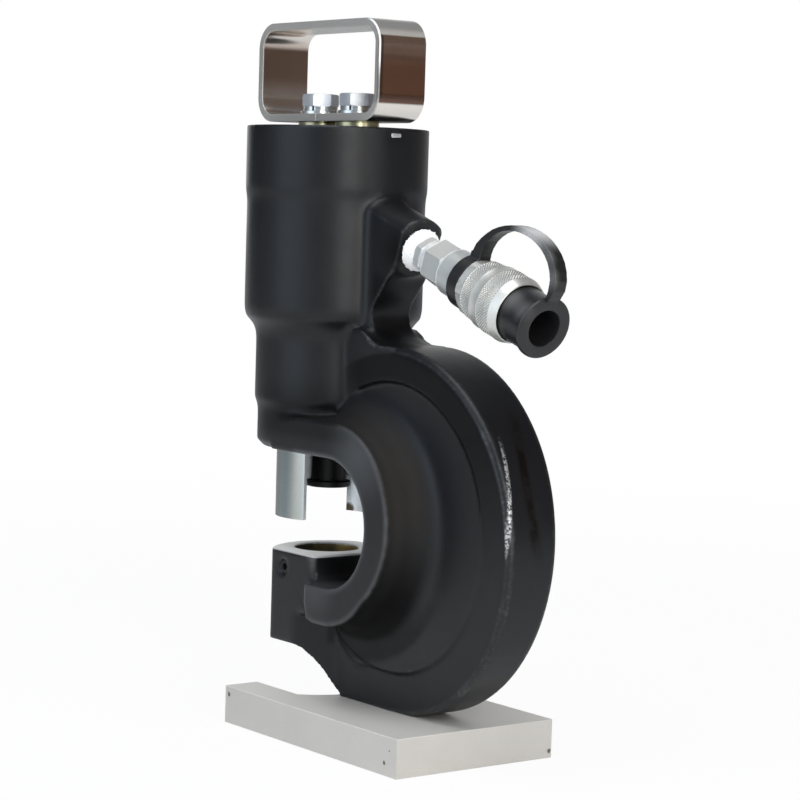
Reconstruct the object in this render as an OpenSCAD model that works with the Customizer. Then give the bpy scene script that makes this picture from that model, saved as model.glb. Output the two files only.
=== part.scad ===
// Hydraulic hole punch: a one-piece C frame with a single-acting ram above a
// die seat, a carrying handle, a base plate and a screw-on oil coupler.
// Lengths are millimetres. +Z is up, +X runs from the ram to the back of the
// throat, and the origin is the middle of the base plate's underside.

/* [Throat and jaw] */
// Distance from the ram axis to the back of the throat
throat_depth = 95.6; // [88:0.5:104]
// Radius of the round end of the throat
throat_r = 37.6; // [34:0.2:40]
// Height of the round end's centre above the ground
throat_z = 128.8; // [126:0.2:132]
// Height of the die face above the ground
die_face_z = 105.6; // [102:0.2:108]
// Half width of the jaw that holds the die
jaw_half_w = 32; // [30:0.5:34]
// Height of the jaw's flat underside
jaw_bottom_z = 50.7; // [47:0.5:55]
// Radius of the die seat
die_seat_r = 19.25; // [17:0.25:21]
// Depth of the die seat
die_seat_depth = 24; // [18:1:30]
// Radius of the hole that slugs fall through
slug_hole_r = 14; // [11:0.5:16]

/* [Frame] */
// Outer radius of the C frame
frame_r = 105.2; // [103:0.2:107]
// Distance from the ram axis to the centre of the frame's outer circle
frame_cx = 88; // [85:0.5:92]
// Half thickness of the web at the height of the throat's centre
web_half_t = 17.3; // [16:0.1:18.5]
// Draft angle of the web's faces, thicker at the top
web_draft = 1.68; // [1:0.02:2.2]
// Half thickness of the flat disc in the web
disc_half_t = 17.2; // [16.4:0.1:18.2]
// Radius of the flat disc in the web
disc_r = 83.2; // [80:0.2:86]
// Half width of the raised lip round the throat
lip_half_w = 43.5; // [41:0.5:46]
// Outer radius of the raised lip
lip_r = 55.6; // [53:0.2:58]
// Radius of the hollow between the lip and the web
cove_r = 18; // [14:0.5:20]
// Chamfer along the frame's outer rim
rim_chamfer = 2.4; // [1:0.2:5]

/* [Barrel] */
// Height of the barrel's top above the ground
barrel_top_z = 356.3; // [350:0.1:362]
// Radius of the collar at the top of the barrel
collar_r = 54.1; // [52:0.1:57]
// Height of the collar
collar_h = 37; // [32:1:42]
// Radius of the barrel below the collar
barrel_r = 53.1; // [51:0.1:54]
// Radius of the lower barrel
lower_barrel_r = 45.6; // [45:0.1:47]
// Height of the shoulder between the two barrel diameters
shoulder_z = 244; // [241:0.5:248]
// Radius of the piston bore
bore_r = 37.5; // [35:0.25:39]
// Radius of the spring chamber under the piston bore
spring_bore_r = 31.5; // [30:0.25:33]
// Half thickness of the rib behind the barrel
rib_half_t = 14.2; // [12:0.1:16]
// Radius of the oil port's boss
boss_r = 17.8; // [16:0.1:20]

/* [Ram] */
// Working stroke of the ram
stroke = 26; // [20:1:26]
// Radius of the ram
ram_r = 21; // [19:0.25:22]
// Height of the piston
piston_h = 34; // [30:0.5:36]
// Radius of the ram's threaded end
ram_thread_r = 7.5; // [6:0.25:8]
// Wire diameter of the return spring
spring_wire = 5; // [4:0.25:5]
// Turns of the return spring
spring_turns = 4.8; // [3:0.1:4.8]
// Radius of the punch nut's flange
nut_flange_r = 13.4; // [12:0.2:15]
// Radius of the hole that the punch passes through
punch_hole_r = 6.5; // [4:0.25:7]
// Height of the punch nut's lower face above the ground
nut_bottom_z = 142.5; // [142:0.5:146]

/* [Stripper] */
// Outer radius of the stripper
stripper_r = 31.5; // [30:0.25:33]
// Wall of the stripper
stripper_wall = 3.4; // [2.6:0.1:5]
// Angle from a leg's middle to its front end
leg_front_a = 31; // [24:0.5:36]
// Angle from a leg's middle to its rear end
leg_rear_a = 27.6; // [22:0.2:32]
// Height of the legs' feet above the ground
leg_foot_z = 124.7; // [120:0.1:128]
// Height of the top of the stripper's front window
window_top_z = 139.2; // [136:0.2:146]

/* [End cap] */
// Radius of the end cap's thread
cap_thread_r = 43; // [41:0.25:45]
// Height of the end cap's thread
cap_thread_h = 38; // [32:1:40]
// Height of the oil chamber between cap and piston
chamber_h = 12; // [11:0.5:15]

/* [Handle] */
// Length of the handle
handle_l = 124; // [112:1:136]
// Height of the handle
handle_h = 59; // [52:1:66]
// Width of the handle's strip
handle_w = 33.2; // [28:0.2:38]
// Thickness of the handle's strip
handle_t = 4.7; // [3:0.1:6]
// Outer radius of the handle's corners
handle_corner_r = 15; // [10:0.5:20]
// Distance between the two handle bolts
bolt_spacing = 38; // [34:1:44]
// Radius of the handle bolts' shanks
bolt_r = 6; // [4:0.25:6.5]
// Width across the flats of the bolt heads
bolt_af = 19; // [17:0.5:20]
// Thickness of the spacer under the handle
spacer_t = 3.2; // [2:0.2:6]

/* [Base plate] */
// Length of the base plate
plate_l = 171.6; // [164:0.2:180]
// Width of the base plate
plate_w = 110.8; // [100:0.2:120]
// Thickness of the base plate
plate_t = 22.3; // [21:0.1:24]
// Distance from the ram axis to the front edge of the base plate
plate_front = 22.5; // [18:0.5:26]
// Half width of the notch that slugs fall through
notch_half_w = 32.8; // [26:0.2:36]
// Distance from the ram axis to the round end of the notch
notch_end = 34; // [28:0.2:35.5]
// Radius of the base screws' shanks
base_screw_r = 5; // [4:0.25:6]

/* [Oil coupler] */
// Distance from the ram axis to the reference point on the coupler axis
port_x = 75; // [73:0.5:77]
// Height of the reference point on the coupler axis
port_z = 289.8; // [289:0.1:291]
// Downward tilt of the coupler axis
port_tilt = 18.9; // [17:0.1:20]
// Station of the boss face along the coupler axis
boss_face_s = 8; // [7:0.25:9]
// Width across flats of the nipple
nipple_af = 19; // [18:0.5:22]
// Width across flats of the coupler body
body_af = 24; // [23:0.5:26]
// Radius of the coupler body's neck
neck_r = 13.8; // [13:0.1:14.5]
// Outer radius of the knurled collar
sleeve_r = 19.3; // [18.5:0.1:21]
// Travel of the valve poppet
poppet_travel = 4; // [2:0.5:5]
// Outer radius of the dust plug
plug_r = 16; // [15:0.1:16.3]
// Radius of the dust plug's flange
plug_flange_r = 17.5; // [17:0.1:20]
// Width of the strap that ties the dust plug
strap_w = 8; // [5:0.5:12]

/* [Hidden] */
$fn = 96;

// Clearances: between curved faces of different bodies, in running fits, and
// between threads and pressed pieces of one body
gap = 0.3;
run_fit = 0.05;
hold_fit = 0.05;
// Overlap of cutting shapes past the faces that they cut
cut = 1;

// The ram axis lies over the base plate's notch
ram_x = plate_front - plate_l / 2;

// Throat
throat_cx = throat_depth - throat_r;
head_z = throat_z + throat_r;
floor_z = throat_z - throat_r;
jaw_back_x = jaw_half_w;
jaw_corner_r = 3;
jaw_front_cx = 11;
jaw_flank_l = 11.1;

// Raised lip: an upper arc round the throat and a lower arc under it
lip_cx = throat_cx + 4;
lip_cz = throat_z + 2.7;
lip_low_r = 48.5;
lip_low_cz = throat_z - 10.8;
lip_end_x = 38.7;
lip_fillet_r = lip_half_w - jaw_half_w;
cove_cx = throat_cx + 2;
cove_cz = throat_z + 1.2;
cove_reach = 78;
cove_foot_t = disc_half_t - 0.2;

// Web
foot_flat = 1;
frame_cz = plate_t + frame_r - foot_flat;
foot_front_x = 37.5;
crease_flat_z = 45.6;
crease_corner_x = 53;
web_top_z = frame_cz + frame_r;

// Barrel
collar_bottom_z = barrel_top_z - collar_h;
step_h = 4.8;
shoulder_h = 5.8;
lower_step_z = 195;
head_r = lip_half_w + 0.1;

// Parts along the ram axis, from the top down
cap_shoulder_z = barrel_top_z - cap_thread_h;
cap_bottom_z = cap_shoulder_z - 10;
piston_top_z = cap_bottom_z - chamber_h;
piston_bottom_z = piston_top_z - piston_h;
bore_bottom_z = piston_bottom_z - stroke - 2;
floor_web_z = head_z + 17.6;
floor_web_h = 5;
bush_bottom_z = floor_web_z + floor_web_h;
bush_h = 15;
bush_top_z = bush_bottom_z + bush_h;
spigot_h = 16;
key_angle = 3.5;
spring_r = (spring_bore_r + ram_r) / 2 + 0.8;
nut_top_z = nut_bottom_z + 24.5;
nut_top_r = 9.9;
nut_skirt_r = 10.6;
nut_flange_h = 3.5;
punch_seat_h = 6.5;

// Stations along the coupler axis
nipple_in_l = 10;
hex1_s = 16.4;
hex1_l = 6.1;
groove_l = 5;
body_s = hex1_s + hex1_l + groove_l;
body_hex_l = 16.5;
ring_s = 57.7;
ring_l = 8.6;
collar_s = ring_s + ring_l + gap;
collar_l = 39.7;
neck_end_s = 80;
nose_flange_l = 4;
nose_end_s = neck_end_s + 13.5;
nose_r = 11.5;
nose_bore_r = 8;
nose_mouth_r = 6.2;
nose_lip = 2.5;
poppet_head_l = 6;
valve_chamber_s = 62;
oil_bore_r = 3.5;
collar_rear_r = neck_r + gap;
collar_bore_r = plug_r + gap;
plug_inner_s = nose_end_s + 1.5;
plug_end_s = 127.5;
plug_flange_l = 3;
plug_hole_r = 10;
plug_floor = 4;

// Strap: its upper and lower line in the middle plane, as stations and heights
// over the coupler axis, from the lug on the ring to the plug's flange
strap_out = [[60.3, 23.4], [63.3, 27.8], [66.8, 31.8], [70.6, 35.4], [75.1, 38.5], [79.7, 41],
    [84.7, 43.1], [90, 44.6], [95.4, 45.5], [100.9, 45.8], [106.4, 45.5],
    [111.8, 44.5], [116.8, 42.8], [121.4, 40.5], [125.5, 37.4], [128.8, 33.3],
    [131.1, 28.5], [132.1, 23.6]];
strap_in = [[126.3, 19.8], [126.9, 22.6], [126.1, 27.3], [123.9, 31.6], [120.8, 35.2],
    [117, 38], [112.7, 40.1], [108, 41.4], [103.1, 42.2], [98.1, 42.3], [93.1, 41.9],
    [88.2, 41], [83.4, 39.4], [79, 37.4], [75.1, 34.8], [71.7, 31.5], [68.8, 27.7],
    [66.6, 22.7]];
lug_r = neck_r + 4.6;

// Moves a shape from the ram axis to its place over the base plate
module at_ram() {
    translate([ram_x, 0, 0]) children();
}

// Lays a flat outline in the XZ plane and gives it a width across Y
module side_extrude(half_w) {
    rotate([90, 0, 0]) linear_extrude(2 * half_w, center = true) children();
}

// Lays a revolved or drawn shape along the coupler axis at a station
module on_coupler(s) {
    translate([port_x, 0, port_z])
        rotate([0, 90 + port_tilt, 0])
            translate([0, 0, s]) children();
}

// A tube between two radii
module tube(r_out, r_in, h) {
    difference() {
        cylinder(r = r_out, h = h);
        translate([0, 0, -cut]) cylinder(r = r_in, h = h + 2 * cut);
    }
}

// A hexagonal prism with its corners chamfered at both ends
module hex_bar(af, h, chamfer) {
    corner_r = af / 2 / cos(30);
    intersection() {
        cylinder(r = corner_r, h = h, $fn = 6);
        rotate_extrude() polygon([[0, 0], [corner_r - chamfer, 0],
            [corner_r, chamfer], [corner_r, h - chamfer],
            [corner_r - chamfer, h], [0, h]]);
    }
}

// A rectangle given by its limits
module rect(x0, x1, y0, y1) {
    translate([x0, y0]) square([x1 - x0, y1 - y0]);
}

// Outline of the throat, open at the front
module throat_outline() {
    floor_fillet_r = 6;
    difference() {
        union() {
            translate([throat_cx, throat_z]) circle(r = throat_r);
            rect(-90, throat_cx, die_face_z, head_z);
            rect(jaw_back_x, throat_cx, floor_z, throat_z);
        }
        difference() {
            rect(jaw_back_x - cut, jaw_back_x + floor_fillet_r, floor_z - cut, floor_z + floor_fillet_r);
            translate([jaw_back_x + floor_fillet_r, floor_z + floor_fillet_r])
                circle(r = floor_fillet_r);
        }
    }
}

// Outer side outline of the web, with its foot and its top shoulder
module web_outline() {
    difference() {
        translate([frame_cx, frame_cz]) circle(r = frame_r);
        rect(0, 2 * frame_cx, 0, plate_t);
    }
    polygon([[0, head_z], [0, web_top_z + 8], [56, web_top_z + 8],
        [61, web_top_z + 5.5], [66, web_top_z + 2.2], [73, web_top_z],
        [frame_cx, web_top_z], [frame_cx, head_z]]);
    polygon(foot_profile());
}

// Side outline of the lower arm, from the jaw's underside to the foot
function foot_profile() = [[12.5, jaw_bottom_z], [15.5, jaw_bottom_z - 1.2],
    [18.5, jaw_bottom_z - 3.4], [22.5, jaw_bottom_z - 7.2],
    [27.2, jaw_bottom_z - 13], [31, jaw_bottom_z - 19.2],
    [34.6, jaw_bottom_z - 25], [foot_front_x, plate_t], [frame_cx, plate_t],
    [frame_cx, 75], [12.5, 75]];

// Half thickness of the drafted web at a height
function web_half(z) = web_half_t + (z - throat_z) * tan(web_draft);

// Wedge that gives the web its draft
module web_wedge() {
    low = plate_t - 5;
    high = web_top_z + 20;
    translate([-60, 0, 0]) rotate([90, 0, 90]) linear_extrude(300)
        polygon([[-web_half(low), low], [web_half(low), low],
            [web_half(high), high], [-web_half(high), high]]);
}

// Tool that chamfers one side of the outer rim, tilted with the draft
module rim_cutter() {
    reach = 6;
    half_at_centre = web_half(frame_cz);
    intersection() {
        translate([frame_cx, 0, frame_cz]) rotate([-90 - web_draft, 0, 0])
            rotate_extrude($fn = 180) polygon([
                [frame_r - rim_chamfer - 1, half_at_centre + 1],
                [frame_r + reach, half_at_centre + 1],
                [frame_r + reach, half_at_centre - rim_chamfer - reach]]);
        translate([frame_cx, -50, -10]) cube([130, 100, 300]);
    }
}

// Web with its draft, its recessed or proud disc and its chamfered rim
module web() {
    difference() {
        union() {
            difference() {
                intersection() {
                    side_extrude(30) web_outline();
                    web_wedge();
                }
                for (side = [0, 1]) mirror([0, side, 0])
                    translate([0, 30 + disc_half_t, 0]) side_extrude(30)
                        translate([frame_cx - 1.2, throat_z]) circle(r = disc_r);
            }
            side_extrude(disc_half_t) disc_outline();
        }
        for (side = [0, 1]) mirror([0, side, 0]) rim_cutter();
    }
}

// Outline of the disc: round, with a flat underside and a slanted front end
module disc_outline() {
    translate([frame_cx - 1.2, throat_z]) circle(r = disc_r);
    polygon([[frame_cx - 1.2, crease_flat_z], [crease_corner_x, crease_flat_z],
        [36, 58.5], [36, throat_z], [frame_cx - 1.2, throat_z]]);
}

// Raised lip round the throat, with the head that carries the stripper
module lip() {
    side_extrude(lip_half_w) difference() {
        union() {
            translate([lip_cx, lip_cz]) circle(r = lip_r);
            translate([throat_cx, lip_low_cz]) circle(r = lip_low_r);
            rect(0, lip_cx, lip_cz, lip_cz + lip_r);
            rect(lip_end_x, throat_cx, lip_low_cz - lip_low_r, throat_z);
        }
        rect(-60, lip_end_x, 0, throat_z);
    }
    translate([0, 0, head_z]) cylinder(r1 = head_r - 4, r2 = head_r, h = 4);
    translate([0, 0, head_z + 4]) cylinder(r = head_r, h = lip_cz + lip_r - head_z - 4);
}

// Hollow fillet between the lip's outer wall and the web, on both sides
module cove() {
    wall_r = cove_reach - cove_r;
    cove_y = cove_foot_t + cove_r;
    intersection() {
        translate([cove_cx, 0, cove_cz]) rotate([90, 0, 0]) for (side = [0, 1])
            mirror([0, 0, side]) rotate_extrude($fn = 180) difference() {
                polygon([[20, 0], [cove_reach, 0], [cove_reach, cove_foot_t],
                    [cove_reach, cove_y], [wall_r, cove_y], [lip_r - 2, lip_half_w - 2],
                    [20, lip_half_w - 2]]);
                translate([cove_reach, cove_y]) circle(r = cove_r);
            }
        side_extrude(lip_half_w) rect(lip_end_x + 2, 160, 40, 230);
    }
}

// Plan of the jaw, with a half-round front and rounded back corners
module jaw_plan() {
    inner = jaw_half_w - jaw_corner_r;
    jaw_front();
    rect(0, jaw_back_x - jaw_corner_r, -jaw_half_w, jaw_half_w);
    rect(0, jaw_back_x, -inner, inner);
    for (side = [-1, 1]) translate([jaw_back_x - jaw_corner_r, side * inner])
        circle(r = jaw_corner_r);
}

// Half-round front of the jaw, with flat flanks
module jaw_front() {
    intersection() {
        translate([jaw_front_cx, 0]) circle(r = norm([jaw_front_cx + jaw_flank_l, jaw_half_w]));
        rect(-50, 5, -jaw_half_w, jaw_half_w);
    }
}

// Plan of the arm under the jaw, drawn in from the jaw's width to the web's
module arm_plan() {
    jaw_front();
    neck = web_half(plate_t) - 1.5;
    polygon([[0, -jaw_half_w], [12.5, -jaw_half_w], [27, -21], [38, -neck],
        [48, -neck], [48, neck], [38, neck], [27, 21],
        [12.5, jaw_half_w], [0, jaw_half_w]]);
}

// Lower jaw with the blend into the lip and into the web
module jaw() {
    ledge_z = lip_low_cz - lip_low_r;
    translate([0, 0, ledge_z]) linear_extrude(die_face_z - ledge_z) jaw_plan();
    translate([0, 0, ledge_z]) linear_extrude(floor_z - ledge_z) {
        rect(jaw_back_x - 12, lip_end_x + 4, -jaw_half_w, jaw_half_w);
        for (side = [-1, 1]) difference() {
            translate([lip_end_x - lip_fillet_r, side * (jaw_half_w - cut)])
                mirror([0, side < 0 ? 1 : 0]) square([lip_fillet_r + cut, lip_fillet_r + cut]);
            translate([lip_end_x - lip_fillet_r, side * lip_half_w])
                circle(r = lip_fillet_r);
        }
    }
    intersection() {
        linear_extrude(ledge_z + cut) arm_plan();
        side_extrude(jaw_half_w) {
            rect(-50, 12.5, jaw_bottom_z, ledge_z + cut);
            polygon(foot_profile());
        }
    }
}

// Round barrel with its collar, its steps and its lower part
module barrel() {
    rotate_extrude($fn = 180) polygon([[0, head_z + 10],
        [head_r - 0.5, head_z + 10], [head_r, lower_step_z - 3.5],
        [lower_barrel_r, lower_step_z],
        [lower_barrel_r, shoulder_z - shoulder_h - 5],
        [lower_barrel_r + 1, shoulder_z - shoulder_h],
        [barrel_r - 1, shoulder_z], [barrel_r, shoulder_z + step_h],
        [barrel_r, collar_bottom_z - step_h], [collar_r, collar_bottom_z],
        [collar_r, barrel_top_z], [0, barrel_top_z]]);
}

// Rib behind the barrel and the slanted boss that carries the oil port
module rib_and_boss() {
    side_extrude(rib_half_t) polygon([[20, 222], [20, 310], [50, 308],
        [77, 288], [77, 273.5], [72, 269.5], [66, 262], [60.4, 255.6],
        [58.4, 252.4], [57.6, 249], [57.6, 246.4], [58.6, 242.8],
        [61.4, 239], [65.4, 236], [70.5, 234], [78, 231.5], [84, 222]]);
    intersection() {
        on_coupler(-44) cylinder(r = boss_r, h = 44 + boss_face_s);
        side_extrude(rib_half_t) rect(10, 110, 240, 330);
    }
}

module frame() {
    color([0.07, 0.08, 0.09]) at_ram() difference() {
        union() {
            barrel();
            rib_and_boss();
            difference() {
                union() {
                    web();
                    cove();
                    lip();
                }
                side_extrude(60) throat_outline();
            }
            jaw();
        }
        frame_cuts();
    }
}

// Bores, threads and seats that are machined in the frame
module frame_cuts() {
    // Ram axis, from the top down
    translate([0, 0, cap_shoulder_z])
        cylinder(r = cap_thread_r + hold_fit, h = cap_thread_h + cut);
    translate([0, 0, bore_bottom_z])
        cylinder(r = bore_r, h = cap_shoulder_z - bore_bottom_z + cut);
    translate([0, 0, bush_bottom_z]) cylinder(r = spring_bore_r, h = bore_bottom_z - bush_bottom_z + cut);
    translate([0, 0, floor_web_z - cut]) cylinder(r = ram_r + 2, h = floor_web_h + 2 * cut);
    translate([0, 0, head_z - cut]) cylinder(r = stripper_r + hold_fit, h = floor_web_z - head_z + cut);
    // Die seat and slug hole
    translate([0, 0, die_face_z - die_seat_depth]) cylinder(r = die_seat_r, h = die_seat_depth + cut);
    translate([0, 0, jaw_bottom_z - cut])
        cylinder(r = slug_hole_r, h = die_face_z - jaw_bottom_z);
    // Threaded hole of the die lock screw
    translate([0, -jaw_half_w - cut, lock_screw_z()]) rotate([-90, 0, 0])
        cylinder(r = 4 + gap, h = jaw_half_w);
    // Slot of the cap's lock key
    key_slot();
    // Oil port: the nipple's thread and the drilling into the bore
    on_coupler(-12) cylinder(r = nipple_r() + hold_fit, h = 40);
    on_coupler(-42) cylinder(r = 4.5, h = 60);
    // Threaded holes of the base screws
    for (x = base_screw_x()) translate([x, 0, plate_t - cut])
        cylinder(r = base_screw_r + hold_fit, h = 18 + cut);
}

function lock_screw_z() = die_face_z - 10.3;
function key_z() = barrel_top_z - 5.9;
function nipple_r() = 8;
function base_screw_x() = [foot_front_x + 17, foot_front_x + 57];

module base_plate() {
    end_r = 47;
    color([0.72, 0.73, 0.74]) at_ram() difference() {
        translate([-plate_front, -plate_w / 2, 0]) cube([plate_l, plate_w, plate_t]);
        translate([0, 0, -cut]) linear_extrude(plate_t + 2 * cut) intersection() {
            rect(-plate_front - cut, notch_end + cut, -notch_half_w, notch_half_w);
            union() {
                translate([notch_end - end_r, 0]) circle(r = end_r);
                rect(-plate_front - cut, 0, -notch_half_w - cut, notch_half_w + cut);
            }
        }
        for (x = base_screw_x()) {
            translate([x, 0, -cut]) cylinder(r = base_screw_r + 0.5, h = plate_t + 2 * cut);
            translate([x, 0, -cut]) cylinder(r = 1.7 * base_screw_r + 0.5, h = 2 * base_screw_r + 1.5 + cut);
        }
    }
}

// Socket head screws that hold the frame's foot from below
module base_screws() {
    head_h = 2 * base_screw_r;
    color([0.2, 0.2, 0.22]) at_ram() for (x = base_screw_x())
        translate([x, 0, 1.5]) difference() {
            union() {
                cylinder(r = 1.7 * base_screw_r, h = head_h);
                cylinder(r = base_screw_r, h = plate_t - 1.5 + 16);
            }
            translate([0, 0, -cut]) cylinder(r = 4 / cos(30), h = 5 + cut, $fn = 6);
        }
}

// Screwed end cap with its oil seal groove, tapped holes and spanner holes
module end_cap() {
    color([0.1, 0.11, 0.12]) at_ram() difference() {
        union() {
            translate([0, 0, cap_shoulder_z]) cylinder(r = cap_thread_r, h = cap_thread_h);
            translate([0, 0, cap_bottom_z]) cylinder(r = bore_r - run_fit, h = cap_shoulder_z - cap_bottom_z + cut);
        }
        translate([0, 0, cap_bottom_z + 3]) tube(bore_r + 2, bore_r - 3, 3.4);
        for (x = bolt_x()) translate([x, 0, barrel_top_z - 24]) cylinder(r = bolt_r + hold_fit, h = 24 + cut);
        for (side = [-1, 1]) translate([0, side * 28, barrel_top_z - 8]) cylinder(r = 4, h = 8 + cut);
        key_slot();
    }
}

// Slot through the collar and into the end cap for the lock key
module key_slot() {
    rotate([0, 0, key_angle]) translate([cap_thread_r - 4, -4 - hold_fit, key_z() - hold_fit])
        cube([collar_r - cap_thread_r + 8, 8 + 2 * hold_fit, 2.8 + 2 * hold_fit]);
}

function bolt_x() = [-bolt_spacing / 2, bolt_spacing / 2];

module cap_seal() {
    ring_r = 1.4;
    color([0.05, 0.05, 0.05]) at_ram() translate([0, 0, cap_bottom_z + 4.7])
        rotate_extrude() translate([bore_r - 3 + ring_r + 0.08, 0]) circle(r = ring_r, $fn = 32);
}

// Key in a slot through the collar that stops the end cap from turning
module cap_lock_key() {
    color([0.85, 0.86, 0.87]) at_ram() rotate([0, 0, key_angle])
        translate([cap_thread_r - 3.8, -4, key_z()]) cube([collar_r - cap_thread_r + 3.6, 8, 2.8]);
}

// Rounded outline of the bent strip
module handle_outline(inset) {
    r = handle_corner_r - inset;
    x = handle_l / 2 - handle_corner_r;
    z = handle_h - 2 * handle_corner_r;
    translate([0, handle_corner_r]) {
        rect(-x - r, x + r, 0, z);
        rect(-x, x, -r, z + r);
        for (sx = [-x, x]) for (sz = [0, z]) translate([sx, sz]) circle(r = r);
    }
}

module handle() {
    color([0.8, 0.8, 0.82]) at_ram() translate([0, 0, barrel_top_z + spacer_t]) difference() {
        side_extrude(handle_w / 2) difference() {
            handle_outline(0);
            handle_outline(handle_t);
            rect(-0.2, 0.2, -cut, handle_t + cut);
        }
        for (x = bolt_x()) translate([x, 0, -cut]) cylinder(r = bolt_r + 0.6, h = handle_t + 2 * cut);
    }
}

module handle_spacers() {
    color([0.75, 0.68, 0.4]) at_ram() for (x = bolt_x())
        translate([x, 0, barrel_top_z]) tube(13, bolt_r + 0.6, spacer_t);
}

module flat_washers() {
    color([0.78, 0.8, 0.8]) at_ram() for (x = bolt_x())
        translate([x, 0, handle_seat_z()]) tube(2 * bolt_r, bolt_r + 0.6, 2);
}

function handle_seat_z() = barrel_top_z + spacer_t + handle_t;

// Spring washers, split and standing a little apart at the cut
module spring_washers() {
    color([0.7, 0.72, 0.72]) at_ram() for (x = bolt_x())
        translate([x, 0, handle_seat_z() + 2]) difference() {
            tube(1.75 * bolt_r, bolt_r + 0.6, 2.6);
            rotate([0, 0, -60]) translate([bolt_r - 2, -0.6, -cut]) cube([10, 1.2, 6]);
        }
}

module handle_bolts() {
    seat_z = handle_seat_z() + 4.6;
    color([0.82, 0.85, 0.84]) at_ram() for (x = bolt_x()) translate([x, 0, seat_z]) {
        hex_bar(bolt_af, 7.5, 0.8);
        translate([0, 0, barrel_top_z - 22 - seat_z]) cylinder(r = bolt_r, h = seat_z - barrel_top_z + 22 + cut);
    }
}

// Piston crown with grooves for the seal, its backup ring and the guide ring
module piston() {
    color([0.62, 0.63, 0.65]) at_ram() difference() {
        translate([0, 0, piston_bottom_z]) rotate_extrude($fn = 180) polygon([[0, 0], [bore_r - 1.5, 0],
            [bore_r - run_fit, 1.5], [bore_r - run_fit, piston_h - 3], [bore_r - 3, piston_h], [0, piston_h]]);
        translate([0, 0, seal_z()]) tube(bore_r + 2, bore_r - 6, 9);
        translate([0, 0, guide_z()]) tube(bore_r + 2, bore_r - 2.5, 8);
        translate([0, 0, piston_bottom_z - cut]) cylinder(r = ram_spigot_r() + hold_fit, h = 22 + cut);
    }
}

function seal_z() = piston_top_z - 14;
function guide_z() = piston_bottom_z + 6;
function ram_spigot_r() = 15;

module piston_seal() {
    lip = 1.2;
    color([0.75, 0.35, 0.15]) at_ram() translate([0, 0, seal_z() + 3.2]) rotate_extrude($fn = 120)
        polygon([[bore_r - 5.9, 0], [bore_r - run_fit, 0], [bore_r - run_fit, 5.6],
            [bore_r - lip, 5.6], [bore_r - 3, 2.4], [bore_r - 5.9 + lip, 5.6], [bore_r - 5.9, 5.6]]);
}

module backup_ring() {
    color([0.9, 0.88, 0.8]) at_ram() translate([0, 0, seal_z() + 0.1])
        tube(bore_r - run_fit, bore_r - 5.9, 3);
}

module guide_ring() {
    color([0.35, 0.28, 0.2]) at_ram() translate([0, 0, guide_z() + 0.1])
        difference() {
            tube(bore_r - run_fit, bore_r - 2.4, 7.8);
            rotate([0, 0, 20]) translate([bore_r - 6, -0.5, -cut]) cube([10, 1, 12]);
        }
}

// Ram rod with a screwed spigot in the piston and a threaded end for the nut
module ram() {
    shoulder = nut_top_z + 3;
    color([0.7, 0.71, 0.73]) at_ram() rotate_extrude() polygon([
        [0, nut_bottom_z + punch_seat_h + 3], [ram_thread_r - 1, nut_bottom_z + punch_seat_h + 3],
        [ram_thread_r, nut_bottom_z + punch_seat_h + 4], [ram_thread_r, nut_top_z + 0.05],
        [nut_top_r, nut_top_z + 0.05], [nut_top_r + 1.5, shoulder], [ram_r - 1.5, shoulder],
        [ram_r, shoulder + 1.5], [ram_r, piston_bottom_z], [ram_spigot_r(), piston_bottom_z],
        [ram_spigot_r(), piston_bottom_z + 20], [0, piston_bottom_z + 20]]);
}

// Points of a ring of the return spring's wire at a turn angle
function coil_ring(r, wire_r, a, z, sides) = [for (i = [0 : sides - 1])
    let (b = 360 * i / sides) [(r + wire_r * cos(b)) * cos(a), (r + wire_r * cos(b)) * sin(a), z + wire_r * sin(b)]];

// A wound wire as one closed tube
module coil(r, wire, turns, z0, z1, per_turn = 8, sides = 6) {
    steps = round(turns * per_turn);
    rings = [for (i = [0 : steps]) coil_ring(r, wire / 2, 360 * turns * i / steps, z0 + (z1 - z0) * i / steps, sides)];
    points = [for (ring = rings) for (p = ring) p];
    walls = [for (i = [0 : steps - 1]) for (j = [0 : sides - 1]) let (
        a = i * sides + j, b = i * sides + (j + 1) % sides) each [[a, b, a + sides], [b, b + sides, a + sides]]];
    start = [for (j = [1 : sides - 2]) [0, j + 1, j]];
    last = steps * sides;
    end = [for (j = [1 : sides - 2]) [last, last + j, last + j + 1]];
    polyhedron(points, concat(walls, start, end), convexity = 10);
}

spring_z0 = bush_top_z + spring_wire / 2 + 0.1;
spring_z1 = piston_bottom_z - spring_wire / 2 - 0.1;
echo(least_spring_gap = (spring_z1 - spring_z0) / spring_turns - spring_wire,
    least_spring_gap_pressed = (spring_z1 - spring_z0 - stroke) / spring_turns - spring_wire);

module return_spring() {
    color([0.35, 0.36, 0.38]) at_ram() coil(spring_r, spring_wire, spring_turns, spring_z0, spring_z1);
}

// Bronze bush that guides the ram, with the wiper's groove
module rod_bush() {
    color([0.72, 0.55, 0.25]) at_ram() translate([0, 0, bush_bottom_z]) difference() {
        tube(spring_bore_r - run_fit, ram_r + run_fit, bush_h);
        translate([0, 0, -cut]) cylinder(r = ram_r + 4.5, h = 5 + cut);
    }
}

module rod_wiper() {
    color([0.08, 0.08, 0.08]) at_ram() translate([0, 0, bush_bottom_z + 0.1]) rotate_extrude()
        polygon([[ram_r + 0.08, 0], [ram_r + 4.4, 0], [ram_r + 4.4, 4.7], [ram_r + 2.2, 4.7], [ram_r + 0.8, 2.6]]);
}

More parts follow.
